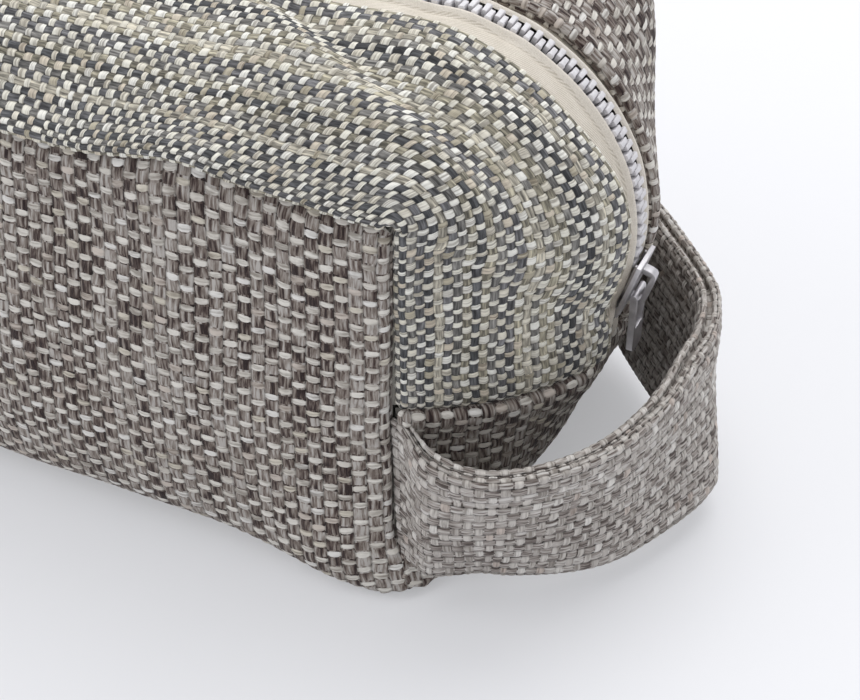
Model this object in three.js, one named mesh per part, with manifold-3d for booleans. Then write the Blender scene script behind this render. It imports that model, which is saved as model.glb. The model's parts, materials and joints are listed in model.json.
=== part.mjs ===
// A boxed zip pouch in two woven fabrics, with a folded wrist loop at one end.
// X runs along the pouch, with the loop at +X. Y runs across it, with the front at -Y. Z is up.
// The origin is at the middle of the underside. All sizes are in millimetres.

import * as THREE from 'three';
import { mergeVertices } from 'three/addons/utils/BufferGeometryUtils.js';
import Module from 'manifold-3d';

const wasm = await Module();
wasm.setup();

// Pouch: the box that the corner seams stand at, and how far the stuffed cloth swells past it
const CORNER_LENGTH = 210;
const CORNER_WIDTH = 88;
const FRONT_EDGE_HEIGHT = 83;
const TOP_RISE = 16.8;
const BACK_EDGE_DROP = 3.8;
const FRONT_FULLNESS = 2;
const BACK_FULLNESS = 6;
const BACK_FLATTENING = 0.36;
const BACK_ROUNDING = 1.4;
const FRONT_CREST = 3;
const BACK_CREST = 4;
const END_REACH = 29;
const END_RADIUS = 38.8;
const ARC_UNDERCUT_DEG = 22;
const END_SEAM_DROP = 40.5;
const END_SEAM_DIP = 7.5;
const END_SEAM_REACH = 25.8;
const FLAP_REACH = 20;
const FLAP_RADIUS = 26;
const FOOT_FLARE = 4;
const SIDE_BULGE = 4.5;
const BOTTOM_SWELL = 4;
const BOTTOM_RADIUS = 9;

// Cloth
const PANEL_THICKNESS = 1.2;
const LINING_THICKNESS = 0.6;
const LAYER_GAP = 0.3;
const SEAM_GAP = 0.5;

// Zipper
const ACCENT_EDGE = 9.5;
const BACK_PANEL_EDGE = 6.2;
const TAPE_EDGE = 15;
const TAPE_THICKNESS = 0.6;
const TOOTH_PITCH = 2.45;
const TOOTH_HEIGHT = 2.4;
const TOOTH_TIP = 0.9;
const TOOTH_GAP = 0.28;
const CHAIN_HALF_WIDTH = 1.9;
const STOP_LENGTH = 2.4;

// Slider and pull
const SLIDER_REST_DEG = -16;
const SLIDER_LENGTH = 12;
const SLIDER_TAIL_WIDTH = 8;
const SLIDER_SHOULDER_WIDTH = 9.6;
const WING_THICKNESS = 0.9;
const WING_CLEARANCE = 0.3;
const FLANGE_WIDTH = 0.7;
const FLANGE_CLEARANCE = 0.7;
const POST_WIDTH = 1.4;
const POST_LENGTH = 3.4;
const CROWN_LENGTH = 8.2;
const CROWN_WIDTH = 2;
const CROWN_OPENING_LENGTH = 6;
const CROWN_OPENING_HEIGHT = 1.9;
const CROWN_THICKNESS = 1;
const PULL_LENGTH = 13;
const PULL_WIDTH = 5.2;
const PULL_THICKNESS = 1.3;
const PULL_ARM_WIDTH = 0.8;
const PULL_WINDOW = 7.4;
const PULL_BAR_RADIUS = 0.6;
const PULL_BAR_OFFSET = 1.9;
const PULL_BAR_GAP = 0.35;

// Wrist loop
const LOOP_WIDTH = 35.5;
const LOOP_BOTTOM = 5;
const LOOP_THICKNESS = 4.4;
const LOOP_ROOT_THICKNESS = 2.4;
const LOOP_ROOT_LENGTH = 10;
const LOOP_ROOT_GAP = 0.5;
const LOOP_ROOT_OFFSET = 0.6;
const LOOP_REACH = 43.2;
const LOOP_FRONT_SHOULDER = 24;
const LOOP_FRONT_SWELL = 5.5;
const LOOP_FRONT_TIP = 22;
const LOOP_FRONT_LEAN = 5.2;
const LOOP_BACK_SHOULDER = 19;
const LOOP_BACK_SWELL = 3.5;
const LOOP_BACK_TIP = 13;
const LOOP_BACK_LEAN = 2.2;
const LOOP_CHAMFER = 1.2;

// Steps of the facets
const RUN_STEPS = [0, 0.45, 0.8, 0.94, 1];
const ARC_STEPS = 8;
const DROP_STEPS = 2;
const RISE_STEPS = 4;
const FLAP_ARC_STEPS = 3;
const SKIN_ROWS = 4;
const BOTTOM_ROWS = 3;
const LOOP_STEPS = 12;

// Sizes that follow
const HALF_LENGTH = CORNER_LENGTH / 2;
const HALF_WIDTH = CORNER_WIDTH / 2;
const TOP_HEIGHT = FRONT_EDGE_HEIGHT + TOP_RISE;
const BACK_EDGE_HEIGHT = TOP_HEIGHT - BACK_EDGE_DROP;
const END_SEAM_HEIGHT = FRONT_EDGE_HEIGHT - END_SEAM_DROP;
const ARC_UNDERCUT = THREE.MathUtils.degToRad(ARC_UNDERCUT_DEG);
const SLIDER_REST = THREE.MathUtils.degToRad(SLIDER_REST_DEG);
const INNER_LAYER = PANEL_THICKNESS + LAYER_GAP;
const CHAIN_DEPTH = INNER_LAYER + TAPE_THICKNESS / 2;
const CHAIN_RADIUS = END_RADIUS - CHAIN_DEPTH;
const TAPE_INNER_EDGE = CHAIN_HALF_WIDTH + LAYER_GAP;
const LINING_EDGE = TAPE_EDGE + LAYER_GAP;
const TOOTH_HALF_WIDTH = (TOOTH_PITCH / 2 - TOOTH_GAP) / 2;

// Helpers

const vec = (x, y, z) => new THREE.Vector3(x, y, z);
const lerp = THREE.MathUtils.lerp;

function fractions(count) {
  return Array.from({ length: count }, (_, i) => (i + 1) / count);
}

function toSolid(geometry) {
  const bare = geometry.clone();
  bare.deleteAttribute('normal');
  bare.deleteAttribute('uv');
  const merged = mergeVertices(bare, 1e-4);
  return new wasm.Manifold(new wasm.Mesh({
    numProp: 3,
    vertProperties: new Float32Array(merged.attributes.position.array),
    triVerts: new Uint32Array(merged.index.array),
  }));
}

function toGeometry(positions, indices) {
  const geometry = new THREE.BufferGeometry();
  geometry.setAttribute('position', new THREE.Float32BufferAttribute(positions, 3));
  geometry.setIndex(Array.from(indices));
  geometry.computeVertexNormals();
  return geometry;
}

function joined(geometries) {
  const solid = geometries.map(toSolid).reduce((sum, piece) => sum.add(piece));
  const mesh = solid.getMesh();
  return toGeometry(mesh.vertProperties, mesh.triVerts);
}

function block(x0, x1, y0, y1, z0, z1) {
  const geometry = new THREE.BoxGeometry(x1 - x0, y1 - y0, z1 - z0);
  return geometry.translate((x0 + x1) / 2, (y0 + y1) / 2, (z0 + z1) / 2);
}

// Skin of the pouch: the outer face of one half of it, drawn at +Y, as three patches of points.
// A station is a place along a profile that runs from end seam to end seam, and v goes from 0 at the
// middle of the pouch to 1 at its side. The back is fuller, and its top edge is a fold, not a seam.

const FLAT_FROM = BACK_PANEL_EDGE / HALF_WIDTH;
const FRONT = {
  ySide: -1,
  edgeHeight: FRONT_EDGE_HEIGHT,
  fullness: FRONT_FULLNESS,
  flattening: 0,
  rounding: 1,
  crest: FRONT_CREST,
};
const BACK = {
  ySide: 1,
  edgeHeight: BACK_EDGE_HEIGHT,
  fullness: BACK_FULLNESS,
  flattening: BACK_FLATTENING,
  rounding: BACK_ROUNDING,
  crest: BACK_CREST,
};

function stations(legs) {
  const half = legs.flatMap(([leg, steps]) => steps.map(t => ({ leg, t, side: 1 })));
  const mirrored = half.filter(s => s.leg !== 'run' || s.t > 0).map(s => ({ ...s, side: -1 }));
  return [...mirrored.reverse(), ...half];
}

const TOP_STATIONS = stations([
  ['run', RUN_STEPS], ['arc', fractions(ARC_STEPS)], ['drop', fractions(DROP_STEPS)],
]);
const SIDE_STATIONS = stations([['run', RUN_STEPS]]);
const BOTTOM_STATIONS = stations([
  ['run', RUN_STEPS], ['arc', fractions(FLAP_ARC_STEPS)], ['rise', fractions(RISE_STEPS)],
]);

// How much of its full swell the end has left at v
function profileAt(half, v) {
  const pastEdge = Math.max(0, v - FLAT_FROM) / (1 - FLAT_FROM);
  const swell = (1 - v ** half.fullness) * (1 - half.flattening * Math.sin(pastEdge * Math.PI / 2));
  const round = 1 - v * v;
  const radius = END_RADIUS * round ** half.rounding;
  const top = lerp(TOP_HEIGHT, half.edgeHeight, v ** half.crest);
  return {
    arc: { x: HALF_LENGTH + END_REACH * swell - radius, z: top - radius, radius },
    seam: { x: HALF_LENGTH + END_SEAM_REACH * swell, z: END_SEAM_HEIGHT - END_SEAM_DIP * round },
    foot: { x: HALF_LENGTH + lerp(FOOT_FLARE, FLAP_REACH, swell), radius: FLAP_RADIUS * round },
  };
}

function topPoint(half, { leg, t, side }, y) {
  const { arc, seam } = profileAt(half, y / HALF_WIDTH);
  const onArc = angle => [arc.x + arc.radius * Math.cos(angle), arc.z + arc.radius * Math.sin(angle)];
  if (leg === 'run') {
    return vec(side * t * arc.x, y, arc.z + arc.radius);
  }
  if (leg === 'arc') {
    const [x, z] = onArc(lerp(Math.PI / 2, -ARC_UNDERCUT, t));
    return vec(side * x, y, z);
  }
  const [x, z] = onArc(-ARC_UNDERCUT);
  return vec(side * lerp(x, seam.x, t), y, lerp(z, seam.z, t));
}

// The corner seams flare out toward their feet
function cornerX(z) {
  const below = Math.max(0, 1 - z / END_SEAM_HEIGHT);
  return HALF_LENGTH + FOOT_FLARE * below * below;
}

const bottomRadius = run => BOTTOM_RADIUS * (1 - run ** 6);
const bottomEdge = run => HALF_WIDTH + BOTTOM_SWELL * (1 - run ** 6);

function sidePoint(half, { t, side }, height) {
  const radius = bottomRadius(t);
  const w = 1 - height / half.edgeHeight;
  const straight = half.edgeHeight - radius;
  const along = w * (straight + radius * Math.PI / 2);
  const edge = lerp(HALF_WIDTH, bottomEdge(t), w);
  const bulge = SIDE_BULGE * (1 - t ** 4) * Math.sin(Math.PI * w ** 1.5);
  const x = side * t * cornerX(height);
  if (along <= straight) {
    return vec(x, edge + bulge, half.edgeHeight - along);
  }
  const angle = (along - straight) / Math.max(radius, 1e-9);
  const y = edge - radius * (1 - Math.cos(angle));
  return vec(x, y + bulge * Math.cos(angle), radius * (1 - Math.sin(angle)));
}

function bottomPoint(half, { leg, t, side }, v) {
  const { foot, seam } = profileAt(half, v);
  if (leg === 'run') {
    return vec(side * t * (foot.x - foot.radius), v * (bottomEdge(t) - bottomRadius(t)), 0);
  }
  if (leg === 'arc') {
    const angle = t * Math.PI / 2;
    const x = foot.x - foot.radius * (1 - Math.sin(angle));
    return vec(side * x, v * HALF_WIDTH, foot.radius * (1 - Math.cos(angle)));
  }
  const x = seam.x + (foot.x - seam.x) * (1 - t) ** 2;
  return vec(side * x, v * HALF_WIDTH, lerp(foot.radius, seam.z, t));
}

const skinLevels = [...Array(SKIN_ROWS).keys()]
  .map(i => TAPE_EDGE + (HALF_WIDTH - TAPE_EDGE) * (1 - (1 - (i + 1) / SKIN_ROWS) ** 1.3));
const TOP_LEVELS = [
  TAPE_INNER_EDGE, BACK_PANEL_EDGE, ACCENT_EDGE, TAPE_EDGE, LINING_EDGE, ...skinLevels,
];
const BOTTOM_LEVELS = [1, ...fractions(BOTTOM_ROWS).map(f => 1 - f)];

// Heights of the rows on a side, which meet the rows of both end cloths along the corner seam
function sideLevels({ edgeHeight }) {
  return [
    edgeHeight,
    ...fractions(DROP_STEPS).map(f => lerp(edgeHeight, END_SEAM_HEIGHT, f)),
    ...fractions(RISE_STEPS).map(f => lerp(END_SEAM_HEIGHT, 0, f)),
  ];
}

function patch(half, places, levels, pointAt) {
  return { places, levels, points: places.map(s => levels.map(l => pointAt(half, s, l))) };
}

function skinOf(half) {
  return {
    top: patch(half, TOP_STATIONS, TOP_LEVELS, topPoint),
    side: patch(half, SIDE_STATIONS, sideLevels(half), sidePoint),
    bottom: patch(half, BOTTOM_STATIONS, BOTTOM_LEVELS, bottomPoint),
  };
}

const keyOf = p => [p.x, p.y, p.z].map(c => Math.round(c * 1e3)).join(' ');

function quads({ points }) {
  const found = [];
  for (let i = 0; i + 1 < points.length; i += 1) {
    for (let j = 0; j + 1 < points[i].length; j += 1) {
      found.push([[i, j], [i + 1, j], [i + 1, j + 1], [i, j + 1]]);
    }
  }
  return found;
}

function triangles(surface) {
  return quads(surface).flatMap(([a, b, c, d]) => [[a, b, c], [a, c, d]]);
}

// The step inward from each point of the skin that sets every face round it back by one, so that
// neighbouring cloths meet in a mitre along their seam.
function inwardSteps(patches) {
  const around = new Map();
  for (const surface of patches) {
    for (const corners of triangles(surface)) {
      const [a, b, c] = corners.map(([i, j]) => surface.points[i][j]);
      const normal = vec().crossVectors(b.clone().sub(a), c.clone().sub(a));
      if (normal.length() > 1e-4) {
        normal.normalize();
        const mirrored = vec(normal.x, -normal.y, normal.z);
        for (const p of [a, b, c]) {
          const faces = p.y <= TAPE_INNER_EDGE ? [normal, mirrored] : [normal];
          around.set(keyOf(p), [...(around.get(keyOf(p)) ?? []), ...faces]);
        }
      }
    }
  }
  const steps = new Map();
  for (const [key, normals] of around) {
    const m = new THREE.Matrix3().set(0, 0, 0, 0, 0, 0, 0, 0, 0);
    const sum = vec(0, 0, 0);
    for (const n of normals) {
      const outer = [n.x * n.x, n.x * n.y, n.x * n.z, n.y * n.y, n.y * n.z, n.z * n.z];
      const [xx, xy, xz, yy, yz, zz] = outer;
      m.elements = m.elements.map((e, i) => e + [xx, xy, xz, xy, yy, yz, xz, yz, zz][i]);
      sum.add(n);
    }
    const even = 0.004 * normals.length;
    m.elements = m.elements.map((e, i) => e + (i % 4 === 0 ? even : 0));
    steps.set(key, sum.applyMatrix3(m.invert()).multiplyScalar(-1));
  }
  return steps;
}

for (const half of [FRONT, BACK]) {
  half.skin = skinOf(half);
  half.inward = inwardSteps(Object.values(half.skin));
}

// A part of a patch, from one level to another or to its end, with the inward step of every point
function strip(half, name, firstLevel, lastLevel) {
  const { places, levels, points } = half.skin[name];
  const first = Math.max(0, levels.indexOf(firstLevel));
  const end = lastLevel === undefined ? levels.length : levels.indexOf(lastLevel) + 1;
  const kept = points.map(column => column.slice(first, end));
  return { places, points: kept, inward: kept.map(column => column.map(p => half.inward.get(keyOf(p)))) };
}

// Draws the edge of a cloth back from its seam by half the seam gap
function drawBack(pieces, edges) {
  const shifts = new Map();
  for (const { piece, i, j, toward: [k, l] } of edges) {
    const p = piece.points[i][j];
    const step = piece.points[k][l].clone().sub(p);
    if (step.length() > 1e-3) {
      const sum = shifts.get(keyOf(p)) ?? vec(0, 0, 0);
      shifts.set(keyOf(p), sum.add(step.normalize()));
    }
  }
  for (const piece of pieces) {
    piece.points = piece.points.map(column => column.map(p => {
      const shift = shifts.get(keyOf(p));
      return shift ? p.clone().addScaledVector(shift.clone().normalize(), SEAM_GAP / 2) : p;
    }));
  }
}

function rowEdge(piece, row, next, chosen = () => true) {
  return piece.places.map((s, i) => ({ s, piece, i, j: row, toward: [i, next] }))
    .filter(edge => chosen(edge.s));
}

function endEdges(piece, firstRow, lastRow) {
  const last = piece.places.length - 1;
  const rows = Array.from({ length: lastRow - firstRow + 1 }, (_, n) => firstRow + n);
  return rows.flatMap(j => [
    { piece, i: 0, j, toward: [1, j] },
    { piece, i: last, j, toward: [last - 1, j] },
  ]);
}

const lastRowOf = piece => piece.points[0].length - 1;

// A closed layer of cloth between two depths under the skin, on the side y = -1 or +1
function layer(pieces, from, to, side) {
  const index = new Map();
  const outer = [];
  const inner = [];
  const faces = [];
  for (const piece of pieces) {
    const number = ([i, j]) => {
      const p = piece.points[i][j];
      const key = keyOf(p);
      if (!index.has(key)) {
        index.set(key, outer.length);
        outer.push(p.clone().addScaledVector(piece.inward[i][j], from));
        inner.push(p.clone().addScaledVector(piece.inward[i][j], to));
      }
      return index.get(key);
    };
    for (const corners of triangles(piece)) {
      const face = corners.map(number);
      if (new Set(face).size === 3) {
        faces.push(face);
      }
    }
  }
  const count = outer.length;
  const open = new Map();
  for (const [a, b, c] of faces) {
    for (const [p, q] of [[a, b], [b, c], [c, a]]) {
      if (!open.delete(`${q} ${p}`)) {
        open.set(`${p} ${q}`, [p, q]);
      }
    }
  }
  const walls = [...open.values()].flatMap(([p, q]) => (outer[p].y < outer[q].y
    ? [[q, p, p + count], [q, p + count, q + count]]
    : [[q, p, q + count], [p, p + count, q + count]]));
  const all = [...faces, ...faces.map(([a, b, c]) => [a + count, c + count, b + count]), ...walls];
  const positions = [...outer, ...inner].flatMap(p => [p.x, side * p.y, p.z]);
  const turned = side > 0 ? all : all.map(([a, b, c]) => [a, c, b]);
  return toGeometry(positions, turned.flat());
}

// Cloth pieces

const atCornerSeam = s => s.leg === 'drop' || s.leg === 'rise';

function lowerCloth(half) {
  return [strip(half, 'side'), strip(half, 'bottom')];
}

function lowerSeams([side, bottom]) {
  return [
    ...endEdges(side, 1, lastRowOf(side) - 1),
    ...rowEdge(bottom, 0, 1, atCornerSeam),
    ...endEdges(bottom, 0, lastRowOf(bottom)),
    ...rowEdge(bottom, lastRowOf(bottom), lastRowOf(bottom) - 1),
  ];
}

function accentPanel() {
  const top = strip(FRONT, 'top', ACCENT_EDGE);
  const last = lastRowOf(top);
  drawBack([top], [...rowEdge(top, last, last - 1), ...endEdges(top, 0, last)]);
  return layer([top], 0, PANEL_THICKNESS, FRONT.ySide);
}

function frontPanel() {
  const [side, bottom] = lowerCloth(FRONT);
  const seams = [...lowerSeams([side, bottom]), ...rowEdge(side, 0, 1), ...endEdges(side, 0, 0)];
  drawBack([side, bottom], seams);
  return layer([side, bottom], 0, PANEL_THICKNESS, FRONT.ySide);
}

// One cloth over top, side and bottom, as on the back and in the lining
function wholeCloth(half, firstLevel, from, to) {
  const top = strip(half, 'top', firstLevel);
  const [side, bottom] = lowerCloth(half);
  const last = lastRowOf(top);
  drawBack([top, side, bottom], [
    ...lowerSeams([side, bottom]),
    ...rowEdge(top, last, last - 1, atCornerSeam),
    ...endEdges(top, 0, last),
  ]);
  return layer([top, side, bottom], from, to, half.ySide);
}

function zipperTape(half) {
  const tape = strip(half, 'top', TAPE_INNER_EDGE, TAPE_EDGE);
  drawBack([tape], endEdges(tape, 0, lastRowOf(tape)));
  return layer([tape], INNER_LAYER, INNER_LAYER + TAPE_THICKNESS, half.ySide);
}

// Zipper chain: it follows the middle profile of the skin, one chain depth under it

const { arc: MIDDLE_ARC, seam: MIDDLE_SEAM } = profileAt(FRONT, 0);
const ARC_LENGTH = CHAIN_RADIUS * (Math.PI / 2 + ARC_UNDERCUT);
const SLIDER_AT = MIDDLE_ARC.x + CHAIN_RADIUS * (Math.PI / 2 - SLIDER_REST);
const HALF_TEETH = Math.floor(SLIDER_AT / TOOTH_PITCH) - 1;
const DROP_TOP = vec(
  MIDDLE_ARC.x + CHAIN_RADIUS * Math.cos(ARC_UNDERCUT), 0,
  MIDDLE_ARC.z - CHAIN_RADIUS * Math.sin(ARC_UNDERCUT),
);
const DROP_ALONG = vec(MIDDLE_SEAM.x - CHAIN_DEPTH, 0, MIDDLE_SEAM.z).sub(DROP_TOP).normalize();

// Place on the chain at a length from the middle of the run, with the outward direction there
function chainFrame(length) {
  const side = Math.sign(length) || 1;
  const s = Math.abs(length);
  if (s <= MIDDLE_ARC.x) {
    return { at: vec(length, 0, MIDDLE_ARC.z + CHAIN_RADIUS), out: vec(0, 0, 1) };
  }
  if (s <= MIDDLE_ARC.x + ARC_LENGTH) {
    const angle = Math.PI / 2 - (s - MIDDLE_ARC.x) / CHAIN_RADIUS;
    const out = vec(side * Math.cos(angle), 0, Math.sin(angle));
    const at = vec(side * MIDDLE_ARC.x, 0, MIDDLE_ARC.z).addScaledVector(out, CHAIN_RADIUS);
    return { at, out };
  }
  const at = DROP_TOP.clone().addScaledVector(DROP_ALONG, s - MIDDLE_ARC.x - ARC_LENGTH);
  return { at: vec(side * at.x, 0, at.z), out: vec(side * -DROP_ALONG.z, 0, DROP_ALONG.x) };
}

// Triangles between two lists of points that run side by side
function band(near, far) {
  const faces = [];
  let i = 0;
  let j = 0;
  while (i + 1 < near.length || j + 1 < far.length) {
    const nearNext = i + 1 < near.length ? near[i + 1][0] : Infinity;
    const farNext = j + 1 < far.length ? far[j + 1][0] : Infinity;
    if (nearNext <= farNext) {
      faces.push([near[i], near[i + 1], far[j]]);
      i += 1;
    } else {
      faces.push([near[i], far[j + 1], far[j]]);
      j += 1;
    }
  }
  return faces;
}

const areaOf = ring => ring.reduce((sum, [s, y], i) => {
  const [nextS, nextY] = ring[(i + 1) % ring.length];
  return sum + s * nextY - nextS * y;
}, 0);

// A strip laid along the chain, as thick as the teeth, from points given as [length, y].
// It lies between its cord edge and its root edge. A tooth stands on its root edge wherever tips names
// the two points of its head, by the place of the tooth's first root point.
function alongChain(cordEdge, rootEdge, tips) {
  const toothEdge = rootEdge.flatMap((p, n) => [p, ...(tips.get(n) ?? [])]);
  const outline = [...cordEdge, ...toothEdge.reverse()];
  const teeth = [...tips].flatMap(([n, [first, second]]) => [
    [rootEdge[n], first, second],
    [rootEdge[n], second, rootEdge[n + 1]],
  ]);
  const upright = ring => (areaOf(ring) > 0 ? ring : [...ring].reverse());
  const ring = upright(outline);
  const number = new Map(ring.map((p, i) => [p, i]));
  const faces = [...band(cordEdge, rootEdge), ...teeth].map(face => upright(face).map(p => number.get(p)));
  const count = ring.length;
  const level = height => ring.map(([s, y]) => {
    const { at, out } = chainFrame(s);
    return vec(at.x, y, at.z).addScaledVector(out, height);
  });
  const points = [...level(TOOTH_HEIGHT / 2), ...level(-TOOTH_HEIGHT / 2)];
  const walls = ring.flatMap((_, p) => {
    const q = (p + 1) % count;
    return [[q, p, p + count], [q, p + count, q + count]];
  });
  const all = [...faces, ...faces.map(([a, b, c]) => [a + count, c + count, b + count]), ...walls];
  return toGeometry(points.flatMap(p => [p.x, p.y, p.z]), all.flat());
}

// A row of teeth on its cord: a tooth every pitch, with the other row's teeth half a pitch along
function teethRow(ySide, offset) {
  const last = 2 * HALF_TEETH;
  const root = ySide * (TOOTH_TIP + TOOTH_GAP);
  const places = Array.from({ length: last + 1 }, (_, n) => (n - HALF_TEETH) * TOOTH_PITCH + offset);
  const curved = s => Math.abs(s) > MIDDLE_ARC.x - TOOTH_PITCH;
  const cordEdge = places.filter((s, n) => n === 0 || n === last || curved(s))
    .map(s => [s, ySide * CHAIN_HALF_WIDTH]);
  const edges = y => places.flatMap(s => [[s - TOOTH_HALF_WIDTH, y], [s + TOOTH_HALF_WIDTH, y]]);
  const heads = edges(-ySide * TOOTH_TIP);
  const tips = new Map(places.map((_, n) => [2 * n, [heads[2 * n], heads[2 * n + 1]]]));
  return alongChain(cordEdge, edges(root), tips);
}

function stopBlock(length, y0, y1) {
  const edge = y => [[length, y], [length + STOP_LENGTH, y]];
  return alongChain(edge(y0), edge(y1), new Map());
}

// Slider, in its own frame: X forward along the chain, Z out from it, origin on the chain

const CHAIN_SAG = (SLIDER_LENGTH / 2) ** 2 / (2 * CHAIN_RADIUS);
const UPPER_WING = TOOTH_HEIGHT / 2 + WING_CLEARANCE;
const LOWER_WING = -(TOOTH_HEIGHT / 2 + WING_CLEARANCE + CHAIN_SAG);
const WING_TOP = UPPER_WING + WING_THICKNESS;
const SLIDER_HALF = SLIDER_LENGTH / 2;

function wingShape() {
  const tail = SLIDER_TAIL_WIDTH / 2;
  const shoulder = SLIDER_SHOULDER_WIDTH / 2;
  const nose = SLIDER_HALF / 3;
  const shape = new THREE.Shape();
  shape.moveTo(-SLIDER_HALF, -tail);
  shape.lineTo(0, -shoulder);
  shape.lineTo(SLIDER_HALF - nose, -shoulder);
  shape.quadraticCurveTo(SLIDER_HALF, -shoulder, SLIDER_HALF, -shoulder + nose);
  shape.lineTo(SLIDER_HALF, shoulder - nose);
  shape.quadraticCurveTo(SLIDER_HALF, shoulder, SLIDER_HALF - nose, shoulder);
  shape.lineTo(0, shoulder);
  shape.lineTo(-SLIDER_HALF, tail);
  shape.closePath();
  return shape;
}

function wing(bottom) {
  const options = { depth: WING_THICKNESS, bevelEnabled: false, curveSegments: 3 };
  return new THREE.ExtrudeGeometry(wingShape(), options).translate(0, 0, bottom);
}

function crown() {
  const outerHeight = CROWN_OPENING_HEIGHT + CROWN_THICKNESS;
  const half = CROWN_LENGTH / 2;
  const hole = CROWN_OPENING_LENGTH / 2;
  const sink = WING_THICKNESS / 2;
  const shape = new THREE.Shape();
  shape.moveTo(-half, -sink);
  shape.lineTo(half, -sink);
  shape.lineTo(half, outerHeight / 2);
  shape.quadraticCurveTo(half, outerHeight, half - outerHeight / 2, outerHeight);
  shape.lineTo(-half + outerHeight / 2, outerHeight);
  shape.quadraticCurveTo(-half, outerHeight, -half, outerHeight / 2);
  shape.closePath();
  const opening = new THREE.Path();
  opening.moveTo(-hole, 0);
  opening.lineTo(-hole, CROWN_OPENING_HEIGHT);
  opening.lineTo(hole, CROWN_OPENING_HEIGHT);
  opening.lineTo(hole, 0);
  opening.closePath();
  shape.holes.push(opening);
  const options = { depth: CROWN_WIDTH, bevelEnabled: false, curveSegments: 3 };
  const arch = new THREE.ExtrudeGeometry(shape, options);
  return arch.rotateX(Math.PI / 2).translate(0, CROWN_WIDTH / 2, WING_TOP);
}

function sliderBody() {
  const tapeFace = TAPE_THICKNESS / 2 + FLANGE_CLEARANCE;
  const flangeIn = CHAIN_HALF_WIDTH + WING_CLEARANCE;
  const flanges = [-1, 1].flatMap(ySide => {
    const [y0, y1] = [ySide * flangeIn, ySide * (flangeIn + FLANGE_WIDTH)].sort((a, b) => a - b);
    const ends = [-SLIDER_HALF + FLANGE_WIDTH, POST_WIDTH];
    return [
      block(...ends, y0, y1, tapeFace, UPPER_WING + WING_THICKNESS / 2),
      block(...ends, y0, y1, LOWER_WING - WING_THICKNESS / 2, -tapeFace - CHAIN_SAG),
    ];
  });
  const postEnd = SLIDER_HALF - FLANGE_WIDTH;
  const half = POST_WIDTH / 2;
  const post = block(postEnd - POST_LENGTH, postEnd, -half, half,
    LOWER_WING - WING_THICKNESS / 2, UPPER_WING + WING_THICKNESS / 2);
  return joined([wing(UPPER_WING), wing(LOWER_WING - WING_THICKNESS), post, crown(), ...flanges]);
}

// Pull, in its own frame: it hangs down from its cross bar, whose middle is the origin
function pullTab() {
  const half = PULL_WIDTH / 2;
  const thick = PULL_THICKNESS / 2;
  const bar = new THREE.CylinderGeometry(PULL_BAR_RADIUS, PULL_BAR_RADIUS, PULL_WIDTH, 10);
  const arms = [-1, 1].map(ySide => {
    const [y0, y1] = [ySide * (half - PULL_ARM_WIDTH), ySide * half].sort((a, b) => a - b);
    return block(-thick, thick, y0, y1, -PULL_WINDOW - PULL_ARM_WIDTH / 2, 0);
  });
  const shape = new THREE.Shape();
  const foot = -PULL_LENGTH;
  shape.moveTo(-half, -PULL_WINDOW);
  shape.lineTo(-half, foot + half / 2);
  shape.quadraticCurveTo(-half, foot, 0, foot);
  shape.quadraticCurveTo(half, foot, half, foot + half / 2);
  shape.lineTo(half, -PULL_WINDOW);
  shape.closePath();
  const options = { depth: PULL_THICKNESS, bevelEnabled: false, curveSegments: 4 };
  const tab = new THREE.ExtrudeGeometry(shape, options);
  tab.rotateX(Math.PI / 2).rotateZ(Math.PI / 2).translate(-thick, 0, 0);
  return joined([bar, ...arms, tab]);
}

// Wrist loop: a folded strap that leaves both corner seams of the +X end and bends round between them.
// Its back half runs straighter, and its top edge leans outward on both sides.

function loopHalfPath(half) {
  const shoulder = half === FRONT ? LOOP_FRONT_SHOULDER : LOOP_BACK_SHOULDER;
  const swell = half === FRONT ? LOOP_FRONT_SWELL : LOOP_BACK_SWELL;
  const tip = half === FRONT ? LOOP_FRONT_TIP : LOOP_BACK_TIP;
  return new THREE.CubicBezierCurve(
    new THREE.Vector2(HALF_LENGTH + LOOP_ROOT_GAP, HALF_WIDTH + LOOP_ROOT_OFFSET),
    new THREE.Vector2(HALF_LENGTH + shoulder, HALF_WIDTH + swell),
    new THREE.Vector2(HALF_LENGTH + LOOP_REACH, tip),
    new THREE.Vector2(HALF_LENGTH + LOOP_REACH, 0),
  );
}

function loopSection(thickness) {
  const t = thickness / 2;
  const w = LOOP_WIDTH / 2;
  const c = Math.min(LOOP_CHAMFER, t / 2);
  return [
    [t - c, -w], [t, -w + c], [t, w - c], [t - c, w],
    [-t + c, w], [-t, w - c], [-t, -w + c], [-t + c, -w],
  ];
}

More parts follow.
